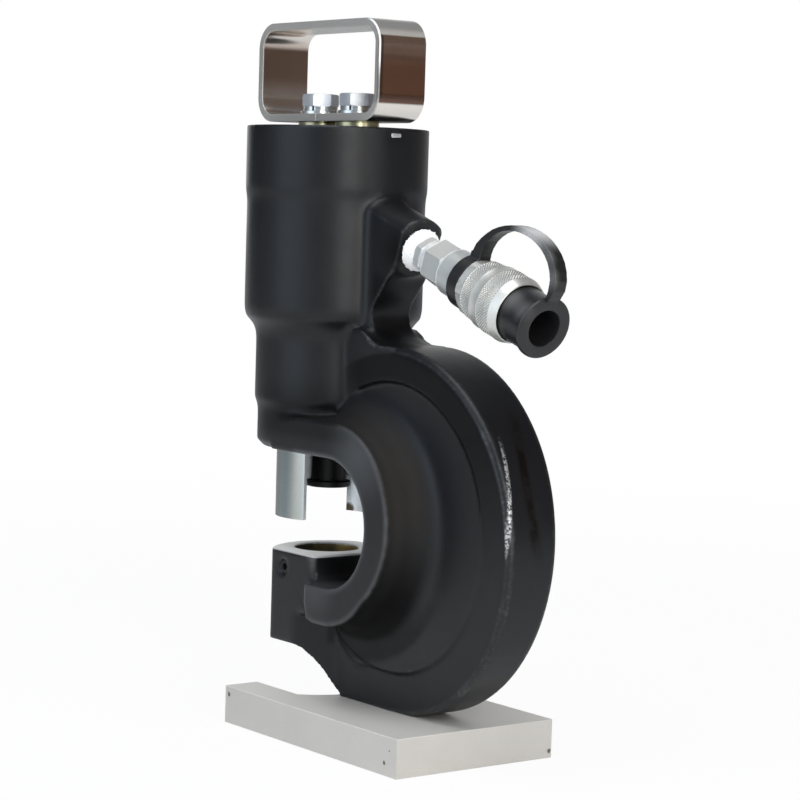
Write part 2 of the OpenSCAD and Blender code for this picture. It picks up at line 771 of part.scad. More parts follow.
// Stripper: a tube screwed into the head, cut away to two legs
module stripper() {
    inner = stripper_r - stripper_wall;
    color([0.68, 0.7, 0.71]) at_ram() difference() {
        translate([0, 0, leg_foot_z]) cylinder(r = stripper_r, h = head_z - leg_foot_z + spigot_h);
        translate([0, 0, leg_foot_z - cut]) cylinder(r = inner, h = head_z - leg_foot_z + spigot_h + 2 * cut);
        window(-1, leg_front_a, window_top_z);
        window(1, leg_rear_a, head_z + spigot_h / 4);
    }
}

// Cut between the radial ends of the two legs, at the front or at the rear
module window(way, angle, top_z) {
    reach = 1.4 * stripper_r;
    translate([0, 0, leg_foot_z - cut]) linear_extrude(top_z - leg_foot_z + cut)
        polygon([[0, 0], [way * reach, reach / tan(angle)], [way * reach, -reach / tan(angle)]]);
}

// Nut that clamps a punch by its head against the ram's threaded end
module punch_nut() {
    color([0.04, 0.04, 0.05]) at_ram() translate([0, 0, nut_bottom_z]) difference() {
        rotate_extrude() polygon([[0, 0], [nut_flange_r - 0.6, 0], [nut_flange_r, 0.6],
            [nut_flange_r, nut_flange_h], [nut_skirt_r, nut_flange_h + 0.3], [nut_top_r, nut_top_z - nut_bottom_z],
            [0, nut_top_z - nut_bottom_z]]);
        translate([0, 0, -cut]) cylinder(r = punch_hole_r, h = punch_seat_h + 2 * cut);
        translate([0, 0, punch_seat_h]) cylinder(r = ram_thread_r + hold_fit, h = 40);
        for (side = [0, 1]) rotate([0, 0, 180 * side]) translate([10.4, 0, -cut])
            cylinder(r = 1.6, h = nut_flange_h - 0.8 + cut, $fn = 24);
    }
}

// Socket set screw that locks the die
module die_lock_screw() {
    color([0.15, 0.15, 0.16]) at_ram() translate([0, -jaw_half_w + 1.6, lock_screw_z()]) rotate([-90, 0, 0])
        difference() {
            union() {
                cylinder(r = 4, h = lock_screw_l() - 1.5);
                translate([0, 0, lock_screw_l() - 1.5]) cylinder(r1 = 4, r2 = 2.6, h = 1.5);
            }
            translate([0, 0, -cut]) cylinder(r = 2 / cos(30), h = 4.5 + cut, $fn = 6);
        }
}

function lock_screw_l() = jaw_half_w - 1.6 - die_seat_r - 0.4;

// Nipple: a taper thread in the boss, a hexagon and a thread in the coupler
module hex_nipple() {
    color([0.78, 0.8, 0.8]) at_ram() on_coupler(0) difference() {
        union() {
            translate([0, 0, -nipple_in_l]) cylinder(r = nipple_r(), h = nipple_in_l + hex1_s + 1);
            translate([0, 0, hex1_s]) hex_bar(nipple_af, hex1_l, 1);
            translate([0, 0, hex1_s + hex1_l - cut]) cylinder(r = nipple_r() + 2, h = groove_l + cut);
            translate([0, 0, body_s - cut]) cylinder(r = nipple_r() - 0.5, h = 15);
        }
        translate([0, 0, -12]) cylinder(r = oil_bore_r, h = 60);
    }
}

// Sealing tape wound on the nipple's thread, bulging out of the port
module thread_tape() {
    l = hex1_s - boss_face_s;
    color([0.95, 0.95, 0.95]) at_ram() on_coupler(boss_face_s) rotate_extrude()
        polygon([[nipple_r() + hold_fit, 0.05], [11.2, 0.05], [12.2, 1.4], [12, 3.6], [11, l - 2],
            [9.8, l - 0.05], [nipple_r() + hold_fit, l - 0.05]]);
}

// Rear half of the coupler: hexagon, round neck and valve chamber
module coupler_body() {
    color([0.8, 0.82, 0.82]) at_ram() on_coupler(body_s) difference() {
        union() {
            hex_bar(body_af, body_hex_l, 1.6);
            translate([0, 0, body_hex_l - 1]) cylinder(r1 = body_af / 2 - 0.6, r2 = neck_r, h = 2.4);
            translate([0, 0, body_hex_l + 1.4 - cut]) cylinder(r = neck_r, h = neck_end_s - body_s - body_hex_l - 1.4 + cut);
        }
        translate([0, 0, -cut]) cylinder(r = nipple_r() - 0.5 + hold_fit, h = 16 + cut);
        translate([0, 0, 5]) cylinder(r = oil_bore_r, h = 80);
        translate([0, 0, valve_chamber_s - body_s]) cylinder(r = nose_bore_r, h = 40);
    }
}

// Front half of the coupler: a flange that keeps the collar on, and the nose
module coupler_nose() {
    l = nose_end_s - neck_end_s;
    color([0.76, 0.78, 0.78]) at_ram() on_coupler(neck_end_s) difference() {
        rotate_extrude() polygon([[0, 0.02], [collar_bore_r - gap, 0.02], [collar_bore_r - gap, nose_flange_l],
            [nose_r, nose_flange_l], [nose_r, l - 1], [nose_r - 1, l], [0, l]]);
        translate([0, 0, -cut]) cylinder(r = nose_bore_r, h = l - nose_lip + cut);
        translate([0, 0, -cut]) cylinder(r = nose_mouth_r, h = l + 2 * cut);
        translate([0, 0, nose_flange_l + 3]) tube(nose_r + 2, nose_r - 1.8, 2.4);
    }
}

module nose_seal() {
    ring_r = 1.1;
    color([0.05, 0.05, 0.05]) at_ram() on_coupler(neck_end_s + nose_flange_l + 4.2) rotate_extrude()
        translate([nose_r - 1.8 + ring_r + 0.05, 0]) circle(r = ring_r, $fn = 32);
}

// Knurled collar that turns on the neck and screws onto the hose's half
module coupler_collar() {
    l = collar_l;
    hex_l = 5.6;
    color([0.8, 0.81, 0.81]) at_ram() on_coupler(collar_s) difference() {
        union() {
            intersection() {
                cylinder(r = 15.6 / cos(30), h = hex_l + cut, $fn = 6);
                cylinder(r1 = 16.2, r2 = 17.2, h = hex_l + cut);
            }
            translate([0, 0, hex_l]) rotate_extrude($fn = 120) polygon([[0, 0], [sleeve_r - 2.1, 0],
                [sleeve_r - 0.8, 10.6], [sleeve_r - 0.8, 12], [sleeve_r - 1.2, 12.4], [sleeve_r - 0.5, 17],
                [sleeve_r, 18], [sleeve_r, 28.6], [sleeve_r - 0.3, 29.4], [sleeve_r - 2.2, l - hex_l], [0, l - hex_l]]);
        }
        translate([0, 0, -cut]) cylinder(r = collar_rear_r, h = l + 2 * cut);
        translate([0, 0, neck_end_s - collar_s - gap]) cylinder(r = collar_bore_r, h = l);
    }
}

// Valve poppet with its stem, behind the mouth of the nose
module valve_poppet() {
    head_s = nose_end_s - nose_lip - 0.1;
    stem_l = head_s - valve_chamber_s - 2;
    color([0.7, 0.72, 0.73]) at_ram() on_coupler(head_s) rotate_extrude($fn = 64) polygon([
        [0, -stem_l], [1.5, -stem_l], [2, -stem_l + 0.5], [2, -poppet_head_l], [nose_bore_r - 0.1, -poppet_head_l],
        [nose_bore_r - 0.1, 0], [nose_mouth_r - 0.1, 0], [nose_mouth_r - 0.1, nose_lip - 0.6],
        [nose_mouth_r - 1, nose_lip], [0, nose_lip]]);
}

poppet_back_s = nose_end_s - nose_lip - 0.1 - poppet_head_l;
guide_s = valve_chamber_s + 0.05;
guide_l = 4;

module poppet_spring() {
    wire = 1.2;
    color([0.75, 0.76, 0.78]) at_ram() on_coupler(0)
        coil(5, wire, 6, guide_s + guide_l + wire / 2 + 0.1, poppet_back_s - wire / 2 - 0.1);
}

// Perforated guide for the poppet's stem
module poppet_guide() {
    color([0.6, 0.62, 0.63]) at_ram() on_coupler(guide_s) difference() {
        cylinder(r = nose_bore_r - hold_fit, h = guide_l);
        translate([0, 0, -cut]) cylinder(r = 2.08, h = guide_l + 2 * cut);
        for (i = [0 : 5]) rotate([0, 0, 60 * i]) translate([5, 0, -cut]) cylinder(r = 1.3, h = guide_l + 2 * cut, $fn = 24);
    }
}

// Rubber ring that keeps the dust plug on the neck
module dust_ring() {
    color([0.04, 0.04, 0.04]) at_ram() on_coupler(ring_s) difference() {
        union() {
            tube(neck_r + 2.2, neck_r + hold_fit, ring_l);
            translate([-lug_r, -strap_w / 2, 0]) cube([lug_r - neck_r, strap_w, ring_l]);
        }
        translate([0, 0, -cut]) cylinder(r = neck_r + hold_fit, h = ring_l + 2 * cut);
    }
}

// Point in the middle plane at a station and a height above the coupler axis
function on_axis(s, r) = [port_x + s * cos(port_tilt) + r * sin(port_tilt),
    port_z - s * sin(port_tilt) + r * cos(port_tilt)];

// Points of an arc between two angles
function arc(c, r, a0, a1, n) = [for (i = [0 : n])
    let (a = a0 + (a1 - a0) * i / n) c + r * [cos(a), sin(a)]];

// Rubber strap: an arch in the middle plane from the ring to the plug
module dust_strap() {
    seat_r = plug_flange_r + gap;
    color([0.04, 0.04, 0.04]) at_ram() side_extrude(strap_w / 2) polygon(concat(
        [on_axis(ring_s + 0.4, lug_r + hold_fit)],
        [for (p = strap_out) on_axis(p[0], p[1])],
        [on_axis(plug_end_s + 4.6, seat_r + 2.6), on_axis(plug_end_s + 2.4, seat_r + 0.6),
            on_axis(plug_end_s - 0.2, seat_r), on_axis(plug_end_s - plug_flange_l + 0.2, seat_r)],
        [for (p = strap_in) on_axis(p[0], p[1])],
        [on_axis(ring_s + ring_l - 0.4, lug_r + hold_fit)]));
}

// Dust plug pressed into the collar's mouth, with its flange and finger hole
module dust_plug() {
    color([0.05, 0.05, 0.05]) at_ram() on_coupler(plug_inner_s) difference() {
        union() {
            cylinder(r = plug_r, h = plug_end_s - plug_inner_s);
            translate([0, 0, plug_end_s - plug_inner_s - plug_flange_l]) cylinder(r = plug_flange_r, h = plug_flange_l);
        }
        translate([0, 0, plug_floor]) cylinder(r = plug_hole_r, h = 60);
    }
}

frame();
base_plate();
base_screws();
end_cap();
cap_seal();
cap_lock_key();
handle();
handle_bolts();
spring_washers();
flat_washers();
handle_spacers();
piston();
ram();
piston_seal();
backup_ring();
guide_ring();
return_spring();
rod_bush();
rod_wiper();
stripper();
punch_nut();
die_lock_screw();
hex_nipple();
thread_tape();
coupler_body();
coupler_nose();
nose_seal();
coupler_collar();
valve_poppet();
poppet_spring();
poppet_guide();
dust_ring();
dust_strap();
dust_plug();
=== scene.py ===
# %% [markdown]
# Hydraulic hole punch. A heavy cast C frame, painted satin black, carries an upright
# barrel with the ram, a chromed strap handle, a ground steel base plate and a
# slanted oil coupler with a rubber dust plug. The solids come from the packed
# model, and this file gives them their rounded castings, knurls and finishes.

import math

import bpy
import numpy as np
from mathutils import Matrix, Vector


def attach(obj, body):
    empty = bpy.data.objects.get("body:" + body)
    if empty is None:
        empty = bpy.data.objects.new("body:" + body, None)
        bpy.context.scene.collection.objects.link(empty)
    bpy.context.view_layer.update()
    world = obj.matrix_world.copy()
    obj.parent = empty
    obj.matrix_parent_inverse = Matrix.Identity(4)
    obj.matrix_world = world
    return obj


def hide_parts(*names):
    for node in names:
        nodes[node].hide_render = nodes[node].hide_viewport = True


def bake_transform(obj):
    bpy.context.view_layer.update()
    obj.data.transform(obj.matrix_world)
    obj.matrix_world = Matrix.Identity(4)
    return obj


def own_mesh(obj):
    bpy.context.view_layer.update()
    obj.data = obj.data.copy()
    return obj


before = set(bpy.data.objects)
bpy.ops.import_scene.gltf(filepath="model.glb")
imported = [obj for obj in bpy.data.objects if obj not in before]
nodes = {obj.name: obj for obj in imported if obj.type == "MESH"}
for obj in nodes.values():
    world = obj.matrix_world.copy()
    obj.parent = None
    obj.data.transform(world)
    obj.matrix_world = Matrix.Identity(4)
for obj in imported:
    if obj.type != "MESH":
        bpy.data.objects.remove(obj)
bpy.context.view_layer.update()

# %% [markdown]
# Lengths are written in millimetres, as on a drawing with the ram at its origin, and MM
# makes metres of them. The oil port lies behind the ram and leans down, and the C has
# three centres: of the web's round back, of the disc on its sides, and of its cove.

# %% Measures of the drawing
MM = 0.001
RAM_X = -63.3 * MM
TILT = math.radians(18.9)
PORT_ALONG = 75.0
PORT_UP = 289.8
PORT = Vector((RAM_X + PORT_ALONG * MM, 0.0, PORT_UP * MM))
ALONG = Vector((math.cos(TILT), 0, -math.sin(TILT)))
ACROSS = Vector((math.sin(TILT), 0, math.cos(TILT)))
UPWARD = Vector((0, 0, 1))
WEB = (88.0, 126.5)
DISC = (86.8, 128.8)
COVE = (60.0, 130.0)

# %% [markdown]
# The operators below act on whatever is selected, so each step first picks one piece.
# Numbers per point are read and written in one go as arrays.

# %% Small helpers for picking and editing


def pick(piece):
    """Leaves edit mode and makes one piece the only selected and active one."""
    if bpy.context.mode != "OBJECT":
        bpy.ops.object.mode_set(mode="OBJECT")
    bpy.ops.object.select_all(action="DESELECT")
    piece.select_set(True)
    bpy.context.view_layer.objects.active = piece


def edit_all(piece):
    """Opens a piece in edit mode with everything selected."""
    pick(piece)
    bpy.ops.object.mode_set(mode="EDIT")
    bpy.ops.mesh.select_mode(type="VERT")
    bpy.ops.mesh.select_all(action="SELECT")


def leave_edit():
    bpy.ops.object.mode_set(mode="OBJECT")


def apply_modifier(piece, kind, **settings):
    """Adds one modifier with its settings and applies it."""
    modifier = piece.modifiers.new(kind.title(), kind)
    for key, value in settings.items():
        setattr(modifier, key, value)
    pick(piece)
    bpy.ops.object.modifier_apply(modifier=modifier.name)


def smooth_by_angle(piece, degrees):
    pick(piece)
    bpy.ops.object.shade_smooth_by_angle(angle=math.radians(degrees))


def per_point(piece, name):
    """The places (co) or normals of all points of a piece, one row each."""
    flat = np.empty(len(piece.data.vertices) * 3)
    piece.data.vertices.foreach_get(name, flat)
    return flat.reshape(-1, 3)


def points_of(piece):
    return per_point(piece, "co")


def set_points(piece, points):
    piece.data.vertices.foreach_set("co", np.asarray(points, dtype=float).ravel())
    piece.data.update()


def on_drawing(piece):
    """Distances from the ram along and across the tool, and heights, of all points."""
    points = points_of(piece) / MM
    return points[:, 0] - RAM_X / MM, points[:, 1], points[:, 2]


print("helpers ready")

# %% [markdown]
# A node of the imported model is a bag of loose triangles. To soften its edges, a copy is
# welded, its flat faces are joined again, and a narrow bevel catches the light on
# every sharp edge, as a file or a tumbler does on the real piece.

# %% Copy a node and round its edges


def new_object(name, data):
    made = bpy.data.objects.new(name, data)
    bpy.context.scene.collection.objects.link(made)
    return made


def welded_copy(node, name):
    """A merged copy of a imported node, ready to be edited."""
    mesh = nodes[node].data.copy()
    mesh.materials.clear()
    piece = new_object(name, mesh)
    pick(piece)
    bpy.ops.mesh.customdata_custom_splitnormals_clear()
    edit_all(piece)
    bpy.ops.mesh.remove_doubles(threshold=0.00001)
    bpy.ops.mesh.mark_sharp(clear=True)
    bpy.ops.mesh.faces_shade_smooth()
    leave_edit()
    return piece


def eased_copy(node, name, width, segments=2, smooth=38):
    """A welded copy whose sharp edges get a small rounded bevel, in millimetres."""
    piece = welded_copy(node, name)
    edit_all(piece)
    bpy.ops.mesh.dissolve_limited(angle_limit=math.radians(0.6))
    leave_edit()
    apply_modifier(
        piece,
        "BEVEL",
        width=width * MM,
        segments=segments,
        limit_method="ANGLE",
        angle_limit=math.radians(32),
        use_clamp_overlap=True,
        harden_normals=False,
    )
    smooth_by_angle(piece, smooth)
    apply_modifier(piece, "WEIGHTED_NORMAL", keep_sharp=True)
    return piece


def place(piece, material, body, slot, *replaced):
    """Gives a piece its finish and its body, and hides the nodes it stands for. The slot is not used."""
    piece.data.materials.clear()
    piece.data.materials.append(material)
    if body:
        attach(piece, body)
    if replaced:
        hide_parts(*replaced)
    print(piece.name, len(piece.data.polygons), "faces")


def dress(node, name, width, material, slot, body="frame", **easing):
    """Rounds a copy of a node and puts it where the node was."""
    place(eased_copy(node, name, width, **easing), material, body, slot, node)


# %% [markdown]
# Shader maths reads best as ordinary sums, so a small class wraps a socket, and
# `1 - mask * 0.3` adds the Math nodes by itself. A graph adds and links nodes, and a
# finish is the graph of one material, with its coordinates and its shader.

# %% Shader maths as Python expressions


class Amount:
    """A number socket of a graph, usable in sums."""

    def __init__(self, graph, socket):
        self.graph = graph
        self.socket = socket

    def math(self, operation, other=0.0, clamp=False):
        return self.graph.math(operation, self, other, clamp)

    def __add__(self, other):
        return self.math("ADD", other)

    __radd__ = __add__

    def __mul__(self, other):
        return self.math("MULTIPLY", other)

    __rmul__ = __mul__

    def __sub__(self, other):
        return self.math("SUBTRACT", other)

    def __rsub__(self, other):
        return self.graph.math("SUBTRACT", other, self)

    def __truediv__(self, other):
        return self.math("DIVIDE", other)

    def __neg__(self):
        return self.math("MULTIPLY", -1.0)

    def __pow__(self, other):
        return self.math("POWER", other)

    def most(self, other):
        return self.math("MAXIMUM", other)

    def size(self):
        return self.math("ABSOLUTE")

    def clamped(self):
        return self.math("ADD", 0.0, clamp=True)

    def step(self, low, high):
        """Rises smoothly from 0 at low to 1 at high."""
        made = self.graph.node(
            "ShaderNodeMapRange",
            {"interpolation_type": "SMOOTHSTEP", "clamp": True},
            {"Value": self, "From Min": low, "From Max": high},
        )
        return Amount(self.graph, made.outputs["Result"])

    def between(self, low, low_end, high_start, high):
        """Rises from low to low_end and falls again from high_start to high."""
        return self.step(low, low_end) * (1 - self.step(high_start, high))


class Graph:
    """A node tree of a material or of the world."""

    def __init__(self, tree):
        self.tree = tree

    def node(self, kind, settings=None, values=None):
        """Adds a node, sets its settings first and then its sockets or links."""
        made = self.tree.nodes.new(kind)
        for key, value in (settings or {}).items():
            setattr(made, key, value)
        for key, value in (values or {}).items():
            self.feed(made.inputs[key], value)
        return made

    def feed(self, target, value):
        if isinstance(value, Amount):
            value = value.socket
        if isinstance(value, bpy.types.NodeSocket):
            self.tree.links.new(value, target)
        elif target.type == "RGBA":
            target.default_value = (*value, 1.0)
        else:
            target.default_value = value

    def math(self, operation, first, second, clamp=False):
        settings = {"operation": operation, "use_clamp": clamp}
        return Amount(self, self.node("ShaderNodeMath", settings, {0: first, 1: second}).outputs[0])

    def vector(self, operation, first, second):
        made = self.node("ShaderNodeVectorMath", {"operation": operation}, {0: first, 1: second})
        return Amount(self, made.outputs["Value"])

    def mix(self, share, first, second):
        values = {"Factor": share, 6: first, 7: second}
        return self.node("ShaderNodeMix", {"data_type": "RGBA"}, values).outputs[2]

    def covered(self, base, *layers):
        """Lays colours over a base one after the other, each with its share."""
        for share, colour in layers:
            base = self.mix(share, base, colour)
        return base

    def choose(self, share, first, second):
        values = {"Fac": share, 1: first, 2: second}
        return self.node("ShaderNodeMixShader", {}, values).outputs["Shader"]


class Finish(Graph):
    """One material: its object coordinates and a Principled shader."""

    def __init__(self, name, **sockets):
        self.material = bpy.data.materials.new(name)
        self.material.use_nodes = True
        super().__init__(self.material.node_tree)
        self.shader = self.tree.nodes["Principled BSDF"]
        self.place = self.node("ShaderNodeTexCoord").outputs["Object"]
        self.shows(**sockets)

    def shows(self, **sockets):
        """Feeds the shader: base_color=..., roughness=..., and so on."""
        for key, value in sockets.items():
            label = key.replace("_", " ").title().replace("Ior", "IOR")
            self.feed(self.shader.inputs[label], value)

    def moved(self, stretch=(1, 1, 1), turn=(0, 0, 0), shift=(0, 0, 0)):
        values = {"Vector": self.place, "Scale": stretch, "Rotation": turn, "Location": shift}
        return self.node("ShaderNodeMapping", {}, values).outputs["Vector"]

    def noise(self, scale, detail=3.0, roughness=0.55, where=None, distortion=0.0):
        values = {
            "Vector": self.place if where is None else where,
            "Scale": scale,
            "Detail": detail,
            "Roughness": roughness,
            "Distortion": distortion,
        }
        return Amount(self, self.node("ShaderNodeTexNoise", {}, values).outputs["Fac"])

    def painted(self, name):
        """A number stored on the mesh, such as how worn an edge is."""
        made = self.node("ShaderNodeAttribute", {"attribute_name": name})
        return Amount(self, made.outputs["Fac"])

    def on_drawing(self):
        """Distances from the ram along and across the tool, and height, in millimetres."""
        drawn = self.moved((1 / MM, 1 / MM, 1 / MM), shift=(-RAM_X / MM, 0, 0))
        parts = self.node("ShaderNodeSeparateXYZ", {}, {"Vector": drawn}).outputs
        return [Amount(self, part) for part in parts]

    def station(self):
        """Distance from the port along the coupler's axis, in millimetres."""
        along, _, up = self.on_drawing()
        return (along - PORT_ALONG) * math.cos(TILT) - (up - PORT_UP) * math.sin(TILT)

    def away_from(self, x, y, z):
        """Distance from a point of the frame, in millimetres."""
        return self.vector("DISTANCE", self.place, (x * MM, y * MM, z * MM)) / MM

    def near(self, x, y, z, radius):
        """Fades from 1 at a point of the frame to 0 at a radius."""
        return 1 - self.away_from(x, y, z).step(0, radius)

    def spot(self, x, y, z, radius):
        """A small ball with a full middle and a ragged outline."""
        wobble = self.noise(600, 3) * 0.8 + 0.6
        return 1 - (self.away_from(x, y, z) / wobble).step(radius * 0.55, radius)

    def bumped(self, height, distance, strength):
        """Height in units of distance, which is in metres."""
        values = {"Height": height, "Distance": distance, "Strength": strength}
        self.shows(normal=self.node("ShaderNodeBump", {}, values).outputs["Normal"])


def from_centre(along, up, centre):
    """Distance from one of the C's centres in the middle plane."""
    return ((along - centre[0]) ** 2 + (up - centre[1]) ** 2) ** 0.5


def leftward(along, across):
    """How far a place lies from the ram towards the photo's left."""
    return -(along * 0.6 + across * 0.8)


print("shader helpers ready")

# %% [markdown]
# The paint is a satin black enamel, brushed or sprayed over an as-cast surface. It is
# not one flat black: the casting's waviness bends the highlights, and handling has
# left pale scratches and worn the outer rim down to bright metal in places, where a
# painted highlight runs along the worn line. Five numbers stored on the casting steer it:
# one for wear on outward edges, one for a painted highlight on the lip's edges, one
# for the faces that were cut after painting, one inside the die seat, and one for
# painted shade in the cove. The other marks lie where the photo shows them; among
# them are painted shade, painted highlights on the lip and in the pocket, and a
# painted brown reflection along the rim.

# %% Black enamel


def cut_steel(finish, rings):
    """Bare machined steel, pale on the jaw's top; inside the die seat dark, turning gold towards the right.
    """
    along, across, _ = finish.on_drawing()
    brown = finish.noise(60, 4, 0.65).step(0.47, 0.62)
    rightward = -leftward(along, across)
    gold = (rightward.step(1, 10) * 0.75 + brown * 0.25).clamped()
    pale = finish.mix(rings, (0.84, 0.84, 0.82), (0.93, 0.93, 0.91))
    dark_to_gold = finish.mix(gold, (0.050, 0.052, 0.034), (0.34, 0.23, 0.07))
    return finish.mix(finish.painted("seat"), pale, dark_to_gold)


def dark_places(finish, cove_shade):
    """Where the paint lies in shade: round the disc, under the boss, down the left side."""
    along, across, up = finish.on_drawing()
    left = leftward(along, across)
    disc = from_centre(along, up, DISC)
    beside_disc = (1 - across.size().step(20, 22.5)) * along.step(30, 60) * disc.step(82.5, 84.5)
    beside_disc = beside_disc * (1 - from_centre(along, up, WEB).step(100.5, 103))
    groove = (1 - (disc - 83.8).size().step(0.5, 1.8)) * (1 - up.step(55, 90))
    under_boss = along.step(54, 62) * up.between(226, 236, 266, 278)
    shoulder = finish.near(19, -16, 286, 24) * (-across).step(8, 13)
    dark = cove_shade * (1 - up.step(85, 135))
    for mask in (
        beside_disc * (up.step(100, 190) * 0.75 + 0.1),
        left.step(-25, 5) * up.between(172, 180, 190, 215) * 0.6,
        groove * (1 - along.step(95, 130)),
        left.step(34, 50) * up.step(170, 180) * 0.5,
        under_boss * (1 - (-across).step(17, 21)) * 0.6,
        shoulder * 0.9,
    ):
        dark = dark.most(mask)
    return dark


def rim_marks(finish, mottled):
    """A line worn bright round the back of the rim, with a painted highlight on it, and a painted brown
    reflection as a dull streak beside it.
    """
    along, across, up = finish.on_drawing()
    on_rim = along.step(155, 165) * from_centre(along, up, WEB).step(101, 102.6)
    off_line = (across + 17.0 - (up - 135.0) * 0.12).size()
    worn_glint_line = (1 - off_line.step(0.4, 1.7)) * on_rim * up.between(108, 135, 172, 190)
    worn_glint_line = worn_glint_line * finish.noise(800, 4, 0.7).step(0.42, 0.58)
    off_streak = (across + 1.5 - (up - 158.0) ** 2 * 0.0044).size()
    brown_reflection_streak = (1 - off_streak.step(1, 5.5)) * on_rim * up.between(115, 140, 185, 205)
    return worn_glint_line, brown_reflection_streak * (mottled.step(0.35, 0.6) * 0.6 + 0.4)


def black_enamel(name, worn=True):
    """Satin black paint. The frame's has wear and marks, the end cap's has none."""
    finish = Finish(name, metallic=0.0, specular_ior_level=0.36)
    mottled = finish.noise(70, 5, 0.6)
    fine = finish.noise(900, 3, 0.6)
    dust = finish.noise(260, 6, 0.7).step(0.6, 0.78) * 0.3
    base = finish.mix(finish.noise(9, 2), (0.0034, 0.0044, 0.0064), (0.0066, 0.0070, 0.0082))
    base = finish.mix(dust, base, (0.026, 0.027, 0.029))
    rough = 0.33 + mottled * 0.12 + (fine - 0.5) * 0.05
    height = mottled * 0.10 + fine * 0.02 + finish.noise(28, 2) * 0.55
    if worn:
        along, across, up = finish.on_drawing()
        machined = finish.painted("machined")
        cove_shade = finish.painted("cove_shade")
        rings = finish.noise(60, 4, 0.6, finish.moved((1, 1, 26)))
        patchy = finish.noise(38, 4, 0.65).step(0.5, 0.72)
        chips = finish.noise(420, 4, 0.7).step(0.5, 0.62)
        bright = (finish.painted("wear") * (0.25 + patchy * 0.9) * (0.35 + chips * 0.75)).clamped()
        slanted = finish.moved((1.0, 1.0, 9.0), (0.4, 0.9, 0.3))
        scratches = finish.noise(55, 6, 0.75, slanted, 0.6).step(0.69, 0.73)
        # A painted brown reflection on the cove's wall, strongest round one point.
        brown_reflection = finish.near(48, -32, 156, 46) * 0.6 + mottled * 0.3
        dark = dark_places(finish, cove_shade)
        worn_glint_line, brown_reflection_streak = rim_marks(finish, mottled)
        # Painted highlights on the lip's face and in the pocket beside the jaw.
        lip_sheen = finish.near(26.7, -43.5, 172, 36) * (-across).step(40.5, 42.5)
        pocket_sheen = finish.near(-14, -33, 90, 27)
        lip_pocket_sheen = lip_sheen.most(pocket_sheen) * 0.9 * (mottled * 0.5 + 0.8)
        base = finish.covered(
            base,
            ((bright * 0.9).clamped(), (0.30, 0.31, 0.33)),
            (scratches * 0.22, (0.20, 0.20, 0.21)),
            # painted highlight along the lip's edges
            ((finish.painted("edge_highlight") * 0.85).clamped(), (0.085, 0.088, 0.092)),
            (machined, cut_steel(finish, rings)),
            # painted shade in the cove, and a painted brown reflection on its walls
            (cove_shade * 0.7, (0.0062, 0.0060, 0.0060)),
            (cove_shade * brown_reflection, (0.0105, 0.0070, 0.0046)),
            (dark * 0.8, (0.0095, 0.0095, 0.0105)),
            # a worn line with a painted highlight, then a painted brown reflection along the rim
            (worn_glint_line * 0.9, (0.62, 0.63, 0.64)),
            (brown_reflection_streak * 0.8, (0.0095, 0.0068, 0.0052)),
            # painted highlights on the lip and in the pocket
            (lip_pocket_sheen.clamped(), (0.050, 0.053, 0.057)),
        )
        left_edge = leftward(along, across).step(40, 53) * up.step(170, 180)
        rough = rough - bright * 0.1 + machined * (0.02 + rings * 0.1) + cove_shade * 0.3
        rough = rough - left_edge * 0.16 + brown_reflection_streak * 0.25
        bare = (machined * 0.45).most(bright * 0.55).most(worn_glint_line * 0.5)
        finish.shows(metallic=bare.most(dark * 0.85).most(brown_reflection_streak * 0.85))
        height = height * (1 - machined)
    finish.shows(base_color=base, roughness=rough)
    finish.bumped(height, 0.0010, 0.5)
    return finish.material


enamel = black_enamel("black_enamel")
cap_enamel = black_enamel("cap_enamel", worn=False)
print("enamel", len(enamel.node_tree.nodes), "nodes")

# %% [markdown]
# The base plate is a sawn and ground steel slab, pale and dull, with cloudy handling
# marks, fine grinding lines along its length, and a few small dark dents. Its top and
# side faces get painted light, and its front painted shade.

# %% Ground plate steel


def plate_steel():
    """Ground steel with painted light, palest on its top and darker on its front, with dents where the
    photo shows them.
    """
    finish = Finish("ground_plate", metallic=0.35)
    _, across, up = finish.on_drawing()
    cloud = finish.noise(22, 5, 0.62)
    grain = finish.noise(330, 5, 0.7, finish.moved((0.12, 1.0, 1.0)))
    speck = finish.noise(700, 4, 0.7).step(0.66, 0.74)
    # The top and side faces get painted light, the front face painted shade.
    top = up.step(21.6, 22.1)
    front = (1 - top) * (-across).step(54.5, 55.3)
    side = (1 - top) * (1 - front) * across.step(-55, 55)
    dents = finish.spot(-81.8, -55.4, 17.5, 1.7)
    for dent in ((74.6, -55.4, 7.1, 1.5), (85.85, 53.6, 4.0, 1.6), (79.0, -55.4, 14.5, 0.7)):
        dents = dents.most(finish.spot(*dent))
    base = finish.covered(
        finish.mix(cloud, (0.52, 0.495, 0.46), (0.68, 0.655, 0.615)),
        (grain * 0.35, (0.76, 0.735, 0.695)),
        (speck * 0.5, (0.25, 0.24, 0.22)),
        (top * 0.75, (0.82, 0.805, 0.765)),
        (front * 0.25, (0.46, 0.45, 0.43)),
        (side * 0.2, (0.78, 0.765, 0.73)),
        (dents * 0.85, (0.06, 0.055, 0.05)),
    )
    finish.shows(base_color=base, roughness=0.42 + cloud * 0.16 + grain * 0.1)
    finish.bumped(grain * 0.25 + cloud * 0.2 - dents * 1.6, 0.0005, 0.5)
    return finish.material


ground_plate = plate_steel()
print("plate", len(ground_plate.node_tree.nodes), "nodes")
